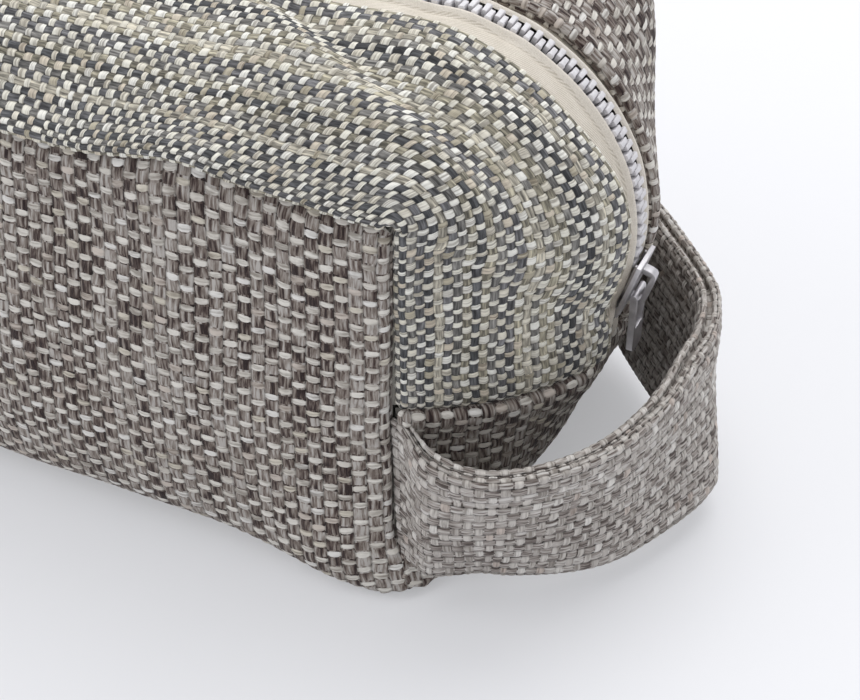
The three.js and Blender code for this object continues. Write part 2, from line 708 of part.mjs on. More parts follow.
function wristLoop() {
  const middle = LOOP_BOTTOM + LOOP_WIDTH / 2;
  const rings = [];
  for (let n = -LOOP_STEPS; n <= LOOP_STEPS; n += 1) {
    const u = 1 - Math.abs(n) / LOOP_STEPS;
    const ySide = n < 0 ? -1 : 1;
    const path = loopHalfPath(n < 0 ? FRONT : BACK);
    const length = path.getLength();
    const at = path.getPointAt(u);
    const along = path.getTangentAt(u);
    const grown = THREE.MathUtils.smoothstep(u * length, 0, LOOP_ROOT_LENGTH);
    const thickness = lerp(LOOP_ROOT_THICKNESS, LOOP_THICKNESS, grown);
    const nearRoot = 1 - THREE.MathUtils.smoothstep(u * length, 0, LOOP_ROOT_LENGTH * 2);
    const topLean = n < 0 ? LOOP_FRONT_LEAN : LOOP_BACK_LEAN;
    const lean = topLean * Math.sin(Math.PI * u) / (LOOP_WIDTH / 2);
    rings.push(loopSection(thickness).map(([across, up]) => {
      const flare = (cornerX(middle + up) - HALF_LENGTH) * nearRoot;
      const out = across + lean * up;
      return vec(at.x - along.y * out + flare, ySide * (at.y + along.x * out), middle + up);
    }));
  }
  const sides = rings[0].length;
  const faces = [];
  for (let r = 0; r + 1 < rings.length; r += 1) {
    for (let k = 0; k < sides; k += 1) {
      const [a, b] = [r * sides + k, r * sides + (k + 1) % sides];
      faces.push([a, b + sides, b], [a, a + sides, b + sides]);
    }
  }
  const last = (rings.length - 1) * sides;
  for (let k = 1; k + 1 < sides; k += 1) {
    faces.push([0, k, k + 1], [last, last + k + 1, last + k]);
  }
  return toGeometry(rings.flat().flatMap(p => [p.x, p.y, p.z]), faces.flat());
}

// Assembly

const materials = {
  greyWeave: { color: 0x8d8682, roughness: 0.95, metalness: 0 },
  accentWeave: { color: 0xaea88f, roughness: 0.95, metalness: 0 },
  lining: { color: 0xcfc8ba, roughness: 0.9, metalness: 0 },
  tape: { color: 0xb9ab97, roughness: 0.9, metalness: 0 },
  teeth: { color: 0xc9c4c6, roughness: 0.4, metalness: 0 },
  slider: { color: 0x9a9894, roughness: 0.35, metalness: 1 },
};

function piece(name, geometry, material) {
  const mesh = new THREE.Mesh(geometry, new THREE.MeshStandardMaterial(materials[material]));
  mesh.name = name;
  return mesh;
}

const pouch = new THREE.Group();
pouch.add(
  piece('accent_panel', accentPanel(), 'accentWeave'),
  piece('front_panel', frontPanel(), 'greyWeave'),
  piece('back_panel', wholeCloth(BACK, BACK_PANEL_EDGE, 0, PANEL_THICKNESS), 'greyWeave'),
  piece('wrist_loop', wristLoop(), 'greyWeave'),
);
for (const [name, half, offset] of [['front', FRONT, 0], ['back', BACK, TOOTH_PITCH / 2]]) {
  const lining = wholeCloth(half, LINING_EDGE, INNER_LAYER, INNER_LAYER + LINING_THICKNESS);
  pouch.add(
    piece(`${name}_lining`, lining, 'lining'),
    piece(`${name}_tape`, zipperTape(half), 'tape'),
    piece(`${name}_teeth`, teethRow(half.ySide, offset), 'teeth'),
  );
}

const slider = new THREE.Group();
const sliderFrame = chainFrame(SLIDER_AT);
slider.position.copy(sliderFrame.at);
slider.rotation.y = Math.PI / 2 - SLIDER_REST;
slider.add(piece('slider_body', sliderBody(), 'slider'));
pouch.add(slider);

const pull = piece('pull_tab', pullTab(), 'slider');
const barHeight = WING_TOP + PULL_BAR_GAP + PULL_BAR_RADIUS;
pull.position.copy(slider.localToWorld(vec(PULL_BAR_OFFSET, 0, barHeight)));
pouch.add(pull);

const stopAt = SLIDER_AT + SLIDER_HALF + 2 * LAYER_GAP;
const chainEnd = HALF_TEETH * TOOTH_PITCH + TOOTH_HALF_WIDTH;
const bottomStopAt = -chainEnd - LAYER_GAP - STOP_LENGTH;
const stopEdge = POST_WIDTH / 2 + LAYER_GAP;
pouch.add(
  piece('bottom_stop', stopBlock(bottomStopAt, -CHAIN_HALF_WIDTH, CHAIN_HALF_WIDTH), 'teeth'),
  piece('front_top_stop', stopBlock(stopAt, -CHAIN_HALF_WIDTH, -stopEdge), 'teeth'),
  piece('back_top_stop', stopBlock(stopAt, stopEdge, CHAIN_HALF_WIDTH), 'teeth'),
);

// Stands the pouch with the middle of its underside at the origin
const box = new THREE.Box3().setFromObject(pouch);
const centre = box.getCenter(vec());
pouch.position.set(-centre.x, -centre.y, -box.min.z);

export default pouch;
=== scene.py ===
import json
import math

import bpy
import bmesh
import numpy as np
from mathutils import Matrix, Vector

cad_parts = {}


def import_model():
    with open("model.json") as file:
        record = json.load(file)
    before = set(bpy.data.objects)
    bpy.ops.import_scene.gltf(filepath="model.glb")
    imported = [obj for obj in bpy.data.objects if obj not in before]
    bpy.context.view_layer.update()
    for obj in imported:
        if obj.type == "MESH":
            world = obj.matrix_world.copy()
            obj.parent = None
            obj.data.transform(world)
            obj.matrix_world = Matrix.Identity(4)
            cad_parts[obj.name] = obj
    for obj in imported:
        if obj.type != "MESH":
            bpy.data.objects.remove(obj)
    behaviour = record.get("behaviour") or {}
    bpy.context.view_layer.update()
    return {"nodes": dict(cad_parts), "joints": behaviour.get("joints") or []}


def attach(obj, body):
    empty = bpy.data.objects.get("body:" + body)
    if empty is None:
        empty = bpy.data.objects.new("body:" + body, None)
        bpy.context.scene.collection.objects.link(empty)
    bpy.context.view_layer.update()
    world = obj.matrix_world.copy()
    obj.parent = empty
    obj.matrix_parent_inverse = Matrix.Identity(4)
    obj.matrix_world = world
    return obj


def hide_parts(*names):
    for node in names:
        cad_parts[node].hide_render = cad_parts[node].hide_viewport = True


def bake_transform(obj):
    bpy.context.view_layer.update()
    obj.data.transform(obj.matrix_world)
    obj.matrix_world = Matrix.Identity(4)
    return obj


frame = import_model()

# Sizes in millimetres, in the CAD's own frame before its centring
HALF_LENGTH = 105.0
HALF_WIDTH = 44.0
TOP_HEIGHT = 99.8
END_SEAM_HEIGHT = 42.5
END_SEAM_DIP = 7.5
END_SEAM_REACH = 25.8
END_RADIUS = 38.8
END_REACH = 29.0
UNDERCUT = math.radians(22)
FRONT, BACK = -1, 1
EDGE_HEIGHT = {FRONT: 83.0, BACK: 96.0}
FULLNESS = {FRONT: 2.0, BACK: 6.0}
FLATTENING = {FRONT: 0.0, BACK: 0.36}
ROUNDING = {FRONT: 1.0, BACK: 1.4}
CREST = {FRONT: 3.0, BACK: 4.0}
CLOTH_EDGE = {FRONT: 9.5, BACK: 6.2}
EDGE_ROLL = {FRONT: 1.2, BACK: 0.7}
SEAM_ROLL = {FRONT: 2.9, BACK: 2.2}
FLAP_ROLL = {FRONT: 1.8, BACK: 0.55}
CORNER_GAP = 0.3
FOOT_BULGE = {FRONT: 4.0, BACK: 0.0}
FOOT_BULGE_X, FOOT_BULGE_SPREAD = 97.0, 13.0
FOOT_BULGE_TOP, FOOT_BULGE_FULL = 34.0, 3.0
FOOT_FLARE = 4.0
FLAP_REACH, FLAP_RADIUS, FLAP_RISE = 20.0, 26.0, 60.0
SIDE_BULGE = 4.5
BOTTOM_SWELL, BOTTOM_RADIUS = 4.0, 9.0
LINING_DEPTH = 2.8
TAPE_DEPTH = 1.75
TAPE_BEAD_EDGE = 3.7
EASE_FROM = 40.0
TOOTH_PITCH = 2.45
CHAIN_DEPTH = 1.8
CHAIN_RUN = 95.2
CHAIN_RADIUS = 37.0
LOOP_BOTTOM, LOOP_TOP = 5.0, 40.5

# The CAD is centred on its own box; the loop's hinge gives where its corner seams went
hinge = next(j for j in frame["joints"] if j["name"] == "loop_swing")["pos_m"]
SHIFT = np.array([hinge[0] * 1000 - HALF_LENGTH, hinge[1] * 1000, 0.0])

COARSE = 1
rng = np.random.default_rng(7)


def world(points):
    return (np.asarray(points, float) + SHIFT) * 0.001


def lerp(a, b, t):
    return a + (b - a) * t


def smoothstep(a, b, x):
    t = np.clip((x - a) / (b - a), 0, 1)
    return t * t * (3 - 2 * t)


def unit(v):
    return v / np.maximum(np.linalg.norm(v, axis=-1, keepdims=True), 1e-9)


def run_length(a, b):
    """Distance along a flat line from its first point."""
    return np.concatenate([[0], np.cumsum(np.hypot(np.diff(a), np.diff(b)))])


# Skin of the pouch

def end_profile(half, v):
    v = np.clip(v, 0, 1)
    flat_from = CLOTH_EDGE[BACK] / HALF_WIDTH
    past_edge = np.maximum(0, v - flat_from) / (1 - flat_from)
    flattened = 1 - FLATTENING[half] * np.sin(past_edge * math.pi / 2)
    swell = (1 - v ** FULLNESS[half]) * flattened
    rounded = 1 - v * v
    radius = END_RADIUS * rounded ** ROUNDING[half]
    top = lerp(TOP_HEIGHT, EDGE_HEIGHT[half], v ** CREST[half])
    arc_x = HALF_LENGTH + END_REACH * swell - radius
    arc_z = top - radius
    seam_x = HALF_LENGTH + END_SEAM_REACH * swell
    seam_z = END_SEAM_HEIGHT - END_SEAM_DIP * rounded
    return swell, top, radius, arc_x, arc_z, seam_x, seam_z


def path_lengths(half, v):
    _, _, radius, arc_x, arc_z, seam_x, seam_z = end_profile(half, v)
    end_x = arc_x + radius * math.cos(UNDERCUT)
    end_z = arc_z - radius * math.sin(UNDERCUT)
    arc = radius * (math.pi / 2 + UNDERCUT)
    drop = np.hypot(seam_x - end_x, seam_z - end_z)
    return arc, drop, end_x, end_z


middle_arc, middle_drop, _, _ = path_lengths(FRONT, np.float64(0))
TOP_REACH = float(HALF_LENGTH + END_REACH - END_RADIUS + middle_arc + middle_drop)


def top_skin(half, u, y):
    v = y / HALF_WIDTH
    _, top, radius, arc_x, arc_z, seam_x, seam_z = end_profile(half, v)
    arc, drop, end_x, end_z = path_lengths(half, v)
    total = arc_x + arc + drop
    s = np.abs(u)
    eased = EASE_FROM + (s - EASE_FROM) * (total - EASE_FROM) / (TOP_REACH - EASE_FROM)
    s = np.where(s > EASE_FROM, eased, s)
    angle = np.clip((s - arc_x) / np.maximum(radius, 1e-4), 0, math.pi / 2 + UNDERCUT)
    f = (s - arc_x - arc) / np.maximum(drop, 1e-6)
    on_run, on_arc = s <= arc_x, s <= arc_x + arc
    x = np.where(on_arc, arc_x + radius * np.sin(angle), lerp(end_x, seam_x, f))
    z = np.where(on_arc, arc_z + radius * np.cos(angle), lerp(end_z, seam_z, f))
    x, z = np.where(on_run, s, x), np.where(on_run, top, z)
    return np.stack([np.sign(u) * x, half * y + 0 * x, z], -1)


def corner_x(z):
    return HALF_LENGTH + FOOT_FLARE * np.maximum(0, 1 - z / END_SEAM_HEIGHT) ** 2


def bottom_edge(t):
    middle = 1 - np.abs(t) ** 6
    return HALF_WIDTH + BOTTOM_SWELL * middle, BOTTOM_RADIUS * middle


def foot_bulge(half, x, z):
    """The front's lower corners are full: how far they stand out at a height."""
    beside = np.exp(-((np.abs(x) - FOOT_BULGE_X) / FOOT_BULGE_SPREAD) ** 2)
    return FOOT_BULGE[half] * beside * smoothstep(FOOT_BULGE_TOP, FOOT_BULGE_FULL, z)


def side_skin(half, u, down):
    t = np.clip(u / HALF_LENGTH, -1, 1)
    edge = EDGE_HEIGHT[half]
    height = edge - down
    w = np.clip(down / edge, 0, 1)
    edge_y, r = bottom_edge(t)
    straight = edge - r
    along = w * (straight + r * math.pi / 2)
    y0 = lerp(HALF_WIDTH, edge_y, w)
    bulge = SIDE_BULGE * (1 - t ** 4) * np.sin(math.pi * w ** 1.5)
    angle = np.clip((along - straight) / np.maximum(r, 1e-6), 0, math.pi / 2)
    flat = along <= straight
    y = np.where(flat, y0 + bulge, y0 - r * (1 - np.cos(angle)) + bulge * np.cos(angle))
    z = np.where(flat, edge - along, r * (1 - np.sin(angle)))
    y = y + foot_bulge(half, u, z)
    return np.stack([t * corner_x(height), half * y, z], -1)


def bottom_skin(half, u, v):
    t = np.clip(u / HALF_LENGTH, -1, 1)
    y, r = bottom_edge(t)
    swell = end_profile(half, v)[0]
    foot = HALF_LENGTH + lerp(FOOT_FLARE, FLAP_REACH, swell) - FLAP_RADIUS * (1 - v * v)
    across = v * (y - r + foot_bulge(half, u, 0) * v ** 6)
    return np.stack([t * foot, half * across, 0 * t + 0 * v], -1)


def flap_skin(end, half, y, q):
    v = y / HALF_WIDTH
    swell, _, _, _, _, seam_x, seam_z = end_profile(half, v)
    foot_x = HALF_LENGTH + lerp(FOOT_FLARE, FLAP_REACH, swell)
    foot_r = FLAP_RADIUS * (1 - v * v)
    bend = foot_r * math.pi / 2
    rise = np.hypot(seam_x - foot_x, seam_z - foot_r)
    s = q * (bend + rise)
    angle = np.clip(s / np.maximum(foot_r, 1e-4), 0, math.pi / 2)
    t = np.clip((s - bend) / rise, 0, 1)
    low = s < bend
    x = np.where(low, foot_x - foot_r * (1 - np.sin(angle)), lerp(seam_x, foot_x, (1 - t) ** 2))
    z = np.where(low, foot_r * (1 - np.cos(angle)), lerp(foot_r, seam_z, t))
    full = foot_bulge(half, HALF_LENGTH, z)
    x = x + 0.6 * full * np.exp(-((v - 0.82) / 0.14) ** 2)
    return np.stack([end * x, half * (y + full * v ** 6) + 0 * x, z], -1)


# Woven cloth: two sets of yarns, one along each cloth direction, in a plain weave

YARN_TURN = 2.399
YARN_GONE = 9.0
WEAVE_DEPTH = 0.3
WEAVE_SINK = 0.2
STRAP_SINK = 0.3
STRIPE_ROWS = 8.5


class Weave:
    """Each pair is for the yarns along v, then along u.

    Pitch is in mm and half width in pitches, across the yarns; level, lift and drop are heights in mm.
    Pairing makes every second yarn along v wider.
    """

    def __init__(self, pitch, half, level, lift, drop, jitter, pairing=0.0):
        self.pitch, self.half, self.jitter, self.pairing = pitch, half, jitter, pairing
        self.level, self.lift, self.drop = level, lift, drop

    def height(self, u, v):
        a, b = u / self.pitch[0], v / self.pitch[1]
        a = a - self.pairing * (1 - np.cos(math.pi * a))
        i, j = np.floor(a), np.floor(b)
        fu, fv = a - i - 0.5, b - j - 0.5
        ru = self.half[0] + self.jitter[0] * np.sin(YARN_TURN * i)
        rv = self.half[1] + self.jitter[1] * np.sin(YARN_TURN * j)
        wave_v = self.lift[0] * np.cos(math.pi * (b - 0.5 + i))
        wave_u = self.lift[1] * np.cos(math.pi * (a - 0.5 + j))
        along_v = self.level[0] + wave_v - self.drop[0] * side_drop(fu / ru)
        along_u = self.level[1] - wave_u - self.drop[1] * side_drop(fv / rv)
        return np.maximum(np.maximum(along_v, along_u), -WEAVE_DEPTH)


def side_drop(f):
    """How far a round yarn falls away from its top at a place across it; beyond its edge it is gone."""
    return np.where(np.abs(f) < 1, 1 - np.sqrt(np.maximum(0, 1 - f * f)), YARN_GONE)


GREY = Weave((2.63, 1.76), (0.485, 0.325), (0.20, -0.03), (0.05, 0.36), (0.27, 0.12), (0.0, 0.03))
ACCENT = Weave((1.70, 1.44), (0.40, 0.47), (0.03, 0.15), (0.36, 0.05), (0.12, 0.26), (0.03, 0.02),
               pairing=0.1)
STRAP = Weave((1.76, 2.30), (0.36, 0.46), (0.0, 0.17), (0.36, 0.10), (0.14, 0.30), (0.03, 0.02))


def from_middle(p):
    return p - np.array([0.0, 0.0, 45.0])


def ripples(u, v, length, seed, count=6):
    r = np.random.default_rng(seed)
    total = 0
    for _ in range(count):
        turn, phase = r.uniform(0, math.tau), r.uniform(0, math.tau)
        k = math.tau / (length * r.uniform(0.7, 1.5))
        total = total + np.sin(k * (u * math.cos(turn) + v * math.sin(turn)) + phase)
    return total / math.sqrt(count)


def drift(u, v, slow, quick):
    """Yarns never run quite straight: a slow and a quick drift in mm, from two seeds."""
    return 0.12 * ripples(u, v, 16, slow) + 0.09 * ripples(u, v, 5, quick)


TANGENT_STEP = 0.9
ROLL_LIMIT = math.radians(140)


def panel(base, us, vs, u_range, v_range, weave=None, soft=None, u_roll=2.0, v_roll=1.5, uv=None):
    """A patch of cloth over base(u, v), as points, cloth places and area.

    Beyond the ranges it rolls inward. u_range may vary along vs, and v_range and v_roll may be functions of u.
    """
    u, v = np.meshgrid(us, vs, indexing="ij")
    low, high = (limit(u) if callable(limit) else limit for limit in v_range)
    v_roll = v_roll(u) if callable(v_roll) else v_roll
    uc, vc = np.clip(u, *u_range), np.clip(v, low, high)
    e = TANGENT_STEP
    tu = unit(base(np.clip(uc + e, *u_range), vc) - base(np.clip(uc - e, *u_range), vc))
    tv = unit(base(uc, np.clip(vc + e, low, high)) - base(uc, np.clip(vc - e, low, high)))
    points = base(uc, vc)
    n = unit(np.cross(tu, tv))
    n = n * np.sign((n * from_middle(points)).sum(-1).mean())
    if soft is not None:
        points = points + soft(uc, vc, points)[..., None] * n
    for over, tangent, roll in ((u - uc, tu, u_roll), (v - vc, tv, v_roll)):
        angle = np.minimum(np.abs(over) / roll, ROLL_LIMIT)[..., None]
        radius = np.asarray(roll)[..., None]
        beyond = np.abs(over)[..., None] - radius * angle
        tangent = tangent * np.sign(over)[..., None]
        points = points + radius * (np.sin(angle) * tangent - (1 - np.cos(angle)) * n)
        points = points + np.maximum(beyond, 0) * (np.cos(angle) * tangent - np.sin(angle) * n)
        n = unit(np.cos(angle) * n + np.sin(angle) * tangent)
    cloth_u, cloth_v = (u, v) if uv is None else uv(u, v)
    cloth_u = cloth_u + drift(u, v, 3, 5)
    cloth_v = cloth_v + drift(u, v, 4, 6)
    flat_area = grid_area(points)
    if weave is not None:
        points = points + (weave.height(cloth_u, cloth_v) - WEAVE_SINK)[..., None] * n
    return points, np.stack([cloth_u, cloth_v], -1), flat_area


def grid_area(p):
    a, b = p[1:, :-1] - p[:-1, :-1], p[:-1, 1:] - p[:-1, :-1]
    return float(np.linalg.norm(np.cross(a, b), axis=-1).sum()) * 1e-6


def steps(start, end, pitch, per_cell):
    count = max(2, int(round((end - start) / pitch * per_cell / COARSE)))
    return np.linspace(start, end, count + 1)


def mesh_object(name, points, faces, uvs=None, smooth=True):
    mesh = bpy.data.meshes.new(name)
    faces = faces.tolist() if hasattr(faces, "tolist") else faces
    mesh.from_pydata(world(points).tolist(), [], faces)
    mesh.update()
    if uvs is not None:
        layer = mesh.uv_layers.new(name="cloth")
        index = np.empty(len(mesh.loops), np.int32)
        mesh.loops.foreach_get("vertex_index", index)
        layer.data.foreach_set("uv", np.asarray(uvs, np.float32)[index].ravel())
    if smooth:
        mesh.polygons.foreach_set("use_smooth", np.ones(len(mesh.polygons), bool))
    obj = bpy.data.objects.new(name, mesh)
    bpy.context.scene.collection.objects.link(obj)
    return obj


def grid_faces(n, m, offset=0, flip=False):
    i, j = np.meshgrid(np.arange(n - 1), np.arange(m - 1), indexing="ij")
    a = (i * m + j + offset).ravel()
    quads = np.stack([a, a + m, a + m + 1, a + 1], -1)
    return quads[:, ::-1] if flip else quads


def cloth_object(name, grids, outward):
    points, uvs, faces, offset = [], [], [], 0
    for p, uv, _ in grids:
        n, m = p.shape[:2]
        mid = p[n // 2, m // 2]
        normal = np.cross(p[n // 2 + 1, m // 2] - mid, p[n // 2, m // 2 + 1] - mid)
        faces.append(grid_faces(n, m, offset, flip=float(normal @ outward(mid)) < 0))
        points.append(p.reshape(-1, 3))
        uvs.append(uv.reshape(-1, 2))
        offset += n * m
    return mesh_object(name, np.concatenate(points), np.concatenate(faces), np.concatenate(uvs))


# Materials

class Paint:
    """Builds one procedural material, with its values worked out by nodes from the cloth's own directions."""

    def __init__(self, name, roughness=0.85):
        self.material = bpy.data.materials.new(name)
        self.material.use_nodes = True
        self.tree = self.material.node_tree
        self.shader = self.tree.nodes["Principled BSDF"]
        self.shader.inputs["Roughness"].default_value = roughness

    def put(self, socket, value):
        if isinstance(value, bpy.types.NodeSocket):
            self.tree.links.new(value, socket)
        else:
            socket.default_value = value

    def math(self, op, *values):
        node = self.tree.nodes.new("ShaderNodeMath")
        node.operation = op
        for socket, value in zip(node.inputs, values):
            self.put(socket, value)
        return node.outputs[0]

    def add(self, a, b):
        return self.math("ADD", a, b)

    def mul(self, a, b):
        return self.math("MULTIPLY", a, b)

    def vector(self, x, y, z=0.0):
        node = self.tree.nodes.new("ShaderNodeCombineXYZ")
        for socket, value in zip(node.inputs, (x, y, z)):
            self.put(socket, value)
        return node.outputs[0]

    def cloth(self):
        node = self.tree.nodes.new("ShaderNodeUVMap")
        node.uv_map = "cloth"
        split = self.tree.nodes.new("ShaderNodeSeparateXYZ")
        self.tree.links.new(node.outputs[0], split.inputs[0])
        return split.outputs[0], split.outputs[1]

    def object_place(self):
        return self.tree.nodes.new("ShaderNodeTexCoord").outputs["Object"]

    def white(self, vector):
        node = self.tree.nodes.new("ShaderNodeTexWhiteNoise")
        self.put(node.inputs["Vector"], vector)
        return node.outputs["Value"]

    def noise(self, vector, scale=1.0, detail=2.0, rough=0.5):
        node = self.tree.nodes.new("ShaderNodeTexNoise")
        self.put(node.inputs["Vector"], vector)
        node.inputs["Scale"].default_value = scale
        node.inputs["Detail"].default_value = detail
        node.inputs["Roughness"].default_value = rough
        return node.outputs[0]

    def ramp(self, value, stops, constant=False):
        node = self.tree.nodes.new("ShaderNodeValToRGB")
        node.color_ramp.interpolation = "CONSTANT" if constant else "LINEAR"
        self.put(node.inputs[0], value)
        points = node.color_ramp.elements
        while len(points) < len(stops):
            points.new(0.5)
        for point, (at, colour) in zip(points, stops):
            point.position = at
            point.color = (*colour, 1)
        return node.outputs[0]

    def mix(self, factor, a, b, blend="MIX"):
        node = self.tree.nodes.new("ShaderNodeMix")
        node.data_type = "RGBA"
        node.blend_type = blend
        self.put(node.inputs[0], factor)
        for socket, value in zip((node.inputs[6], node.inputs[7]), (a, b)):
            self.put(socket, (*value, 1) if isinstance(value, tuple) else value)
        return node.outputs[2]

    def bump(self, height, strength, distance):
        node = self.tree.nodes.new("ShaderNodeBump")
        node.inputs["Strength"].default_value = strength
        node.inputs["Distance"].default_value = distance
        self.put(node.inputs["Height"], height)
        self.put(self.shader.inputs["Normal"], node.outputs[0])

    def colour(self, value):
        self.put(self.shader.inputs["Base Color"], value)


def weave_values(p, weave):
    """The weave's own heights again, as nodes, so that the yarns' colours sit on their bumps."""
    u, v = p.cloth()
    a, b = p.math("DIVIDE", u, weave.pitch[0]), p.math("DIVIDE", v, weave.pitch[1])
    a = p.add(a, p.mul(p.add(p.math("COSINE", p.mul(a, math.pi)), -1.0), weave.pairing))
    i, j = p.math("FLOOR", a), p.math("FLOOR", b)
    fu = p.math("SUBTRACT", p.math("FRACT", a), 0.5)
    fv = p.math("SUBTRACT", p.math("FRACT", b), 0.5)

    def yarn(f, index, along, side, sign):
        uneven = p.mul(p.math("SINE", p.mul(index, YARN_TURN)), weave.jitter[side])
        half = p.add(uneven, weave.half[side])
        across = p.math("DIVIDE", f, half)
        inside = p.math("LESS_THAN", p.math("ABSOLUTE", across), 1.0)
        square = p.math("SUBTRACT", 1.0, p.mul(across, across))
        crown = p.math("SQRT", p.math("MAXIMUM", square, 0.0))
        crown = p.add(p.mul(p.add(crown, YARN_GONE - 1), inside), -YARN_GONE)
        wave = p.math("COSINE", p.mul(p.add(p.add(along, -0.5), index), math.pi))
        height = p.add(p.mul(wave, sign * weave.lift[side]), p.mul(crown, weave.drop[side]))
        return p.add(height, weave.level[side])

    along_v = yarn(fu, i, b, 0, 1)
    along_u = yarn(fv, j, a, 1, -1)
    on_u = p.math("GREATER_THAN", along_u, along_v)
    top = p.math("MAXIMUM", along_u, along_v)
    return dict(u=u, v=v, i=i, j=j, on_u=on_u, top=top)


def yarn_tone(p, w, along, strands):
    """Strands and fibres that run along one set of yarns, with a shift for each yarn and each float."""
    u, v, index = (w["u"], w["v"], w["i"]) if along == "v" else (w["v"], w["u"], w["j"])
    seed = p.add(index, 3.3 if along == "v" else 51.7)
    spot = p.white(p.vector(w["i"], w["j"], 3.0 if along == "v" else 4.0))
    seed = p.add(seed, p.mul(spot, 2.0))
    strand = p.noise(p.vector(p.mul(u, strands), p.mul(v, 0.22), seed), 1.0, 1.0, 0.5)
    fibre = p.noise(p.vector(p.mul(u, 3.2 * strands), p.mul(v, 0.9), seed), 1.0, 2.0, 0.6)
    yarn = p.white(p.vector(index, 5.0 if along == "v" else 9.0))

    def centred(value, weight):
        return p.mul(p.add(value, -0.5), weight)

    tone = p.add(centred(strand, 2.3), centred(fibre, 0.7))
    shift = p.add(centred(spot, 0.36), 0.5)
    return p.add(p.add(tone, centred(yarn, 0.3)), shift), fibre


def woven(name, weave, along_v, along_u, strands):
    """along_v and along_u: the yarns' colours by tone, then by float, or by yarn as stripes."""
    p = Paint(name, 0.9)
    w = weave_values(p, weave)
    colours, fibres = [], []
    for along, (tones, hues, striped) in (("v", along_v), ("u", along_u)):
        tone, fibre = yarn_tone(p, w, along, strands)
        colour = p.ramp(tone, tones)
        if hues:
            if striped:
                band = p.math("SINE", p.mul(w["j"], math.tau / STRIPE_ROWS))
                chance = p.mul(p.white(p.vector(w["j"], 2.0)), 0.8)
                pick = p.add(p.mul(band, 0.10), p.add(chance, 0.10))
            else:
                pick = p.white(p.vector(w["i"], w["j"], 8.0))
            colour = p.mix(1.0, p.ramp(pick, hues, constant=True), colour, "MULTIPLY")
        colours.append(colour)
        fibres.append(fibre)
    colour = p.mix(w["on_u"], *colours)
    # Painted shade: by their weave height, yarns are darkened where they go under, and at their edges
    shade = p.ramp(p.add(w["top"], WEAVE_DEPTH), [
        (0.0, (0.05, 0.045, 0.045)), (0.2, (0.30, 0.29, 0.28)), (0.42, (1, 1, 1)),
    ])
    p.colour(p.mix(1.0, colour, shade, "MULTIPLY"))
    under_v = p.math("SUBTRACT", 1.0, w["on_u"])
    fibre = p.add(p.mul(fibres[0], under_v), p.mul(fibres[1], w["on_u"]))
    p.bump(fibre, 0.6, 0.0005)
    p.shader.inputs["Specular IOR Level"].default_value = 0.25
    p.shader.inputs["Sheen Weight"].default_value = 0.1
    p.shader.inputs["Sheen Roughness"].default_value = 0.6
    return p.material


soft_tones = [(0.0, (0.50, 0.48, 0.46)), (0.35, (0.82, 0.81, 0.80)),
              (0.6, (1, 1, 1)), (1.0, (1.12, 1.12, 1.12))]
grey_tones = [(0.0, (0.024, 0.013, 0.012)), (0.25, (0.074, 0.050, 0.043)), (0.45, (0.178, 0.144, 0.122)),
              (0.65, (0.272, 0.236, 0.208)), (0.82, (0.370, 0.336, 0.305)), (1.0, (0.475, 0.445, 0.415))]
grey_floats = [(0.0, (0.69, 0.660, 0.605)), (0.46, (0.62, 0.585, 0.53)), (0.70, (0.61, 0.565, 0.48)),
               (0.80, (0.54, 0.480, 0.425)), (0.88, (0.71, 0.690, 0.655))]
grey_cloth = woven("grey_weave", GREY, (grey_tones, None, False), (soft_tones, grey_floats, False), 1.7)
strap_tones = [(0.0, (0.08, 0.060, 0.052)), (0.25, (0.20, 0.170, 0.151)), (0.5, (0.37, 0.332, 0.302)),
               (0.75, (0.51, 0.476, 0.440)), (1.0, (0.65, 0.622, 0.592))]
strap_floats = [(0.0, (0.58, 0.545, 0.505)), (0.5, (0.49, 0.455, 0.42)),
                (0.8, (0.68, 0.65, 0.61)), (0.93, (0.54, 0.47, 0.42))]
strap_cloth = woven("strap_weave", STRAP, (soft_tones, strap_floats, False), (strap_tones, None, False), 2.2)
strand_tones = [(0.0, (0.30, 0.30, 0.31)), (0.4, (0.75, 0.75, 0.75)), (0.62, (1.1, 1.1, 1.1)),
                (0.85, (1.5, 1.5, 1.5)), (1.0, (2.1, 2.1, 2.08))]
accent_floats = [(0.0, (0.82, 0.795, 0.70)), (0.42, (0.76, 0.72, 0.615)), (0.64, (0.86, 0.845, 0.78)),
                 (0.88, (0.66, 0.59, 0.48)), (0.95, (0.50, 0.455, 0.35))]
accent_stripes = [(0.0, (0.080, 0.082, 0.086)), (0.20, (0.135, 0.134, 0.138)), (0.44, (0.19, 0.184, 0.172)),
                  (0.58, (0.32, 0.295, 0.225)), (0.74, (0.40, 0.372, 0.305)), (0.86, (0.26, 0.238, 0.182))]
accent_cloth = woven("accent_weave", ACCENT, (soft_tones, accent_floats, False),
                     (strand_tones, accent_stripes, True), 2.6)


def plain_cloth(name, dark, light, across, along):
    p = Paint(name, 0.9)
    u, v = p.cloth()
    wander = p.noise(p.vector(p.mul(u, 0.35), p.mul(v, 0.9)), 1.0, 2.0, 0.5)
    lines = p.math("SINE", p.add(p.add(p.mul(u, along), p.mul(v, across)), p.mul(wander, 5.0)))
    fuzz = p.noise(p.vector(p.mul(u, 3.0), p.mul(v, 5.0)), 1.0, 3.0, 0.6)
    tone = p.add(p.mul(lines, 0.15), p.add(p.mul(wander, 0.4), p.mul(fuzz, 0.6)))
    p.colour(p.ramp(tone, [(0.25, dark), (0.75, light)]))
    p.bump(tone, 0.6, 0.0005)
    return p.material


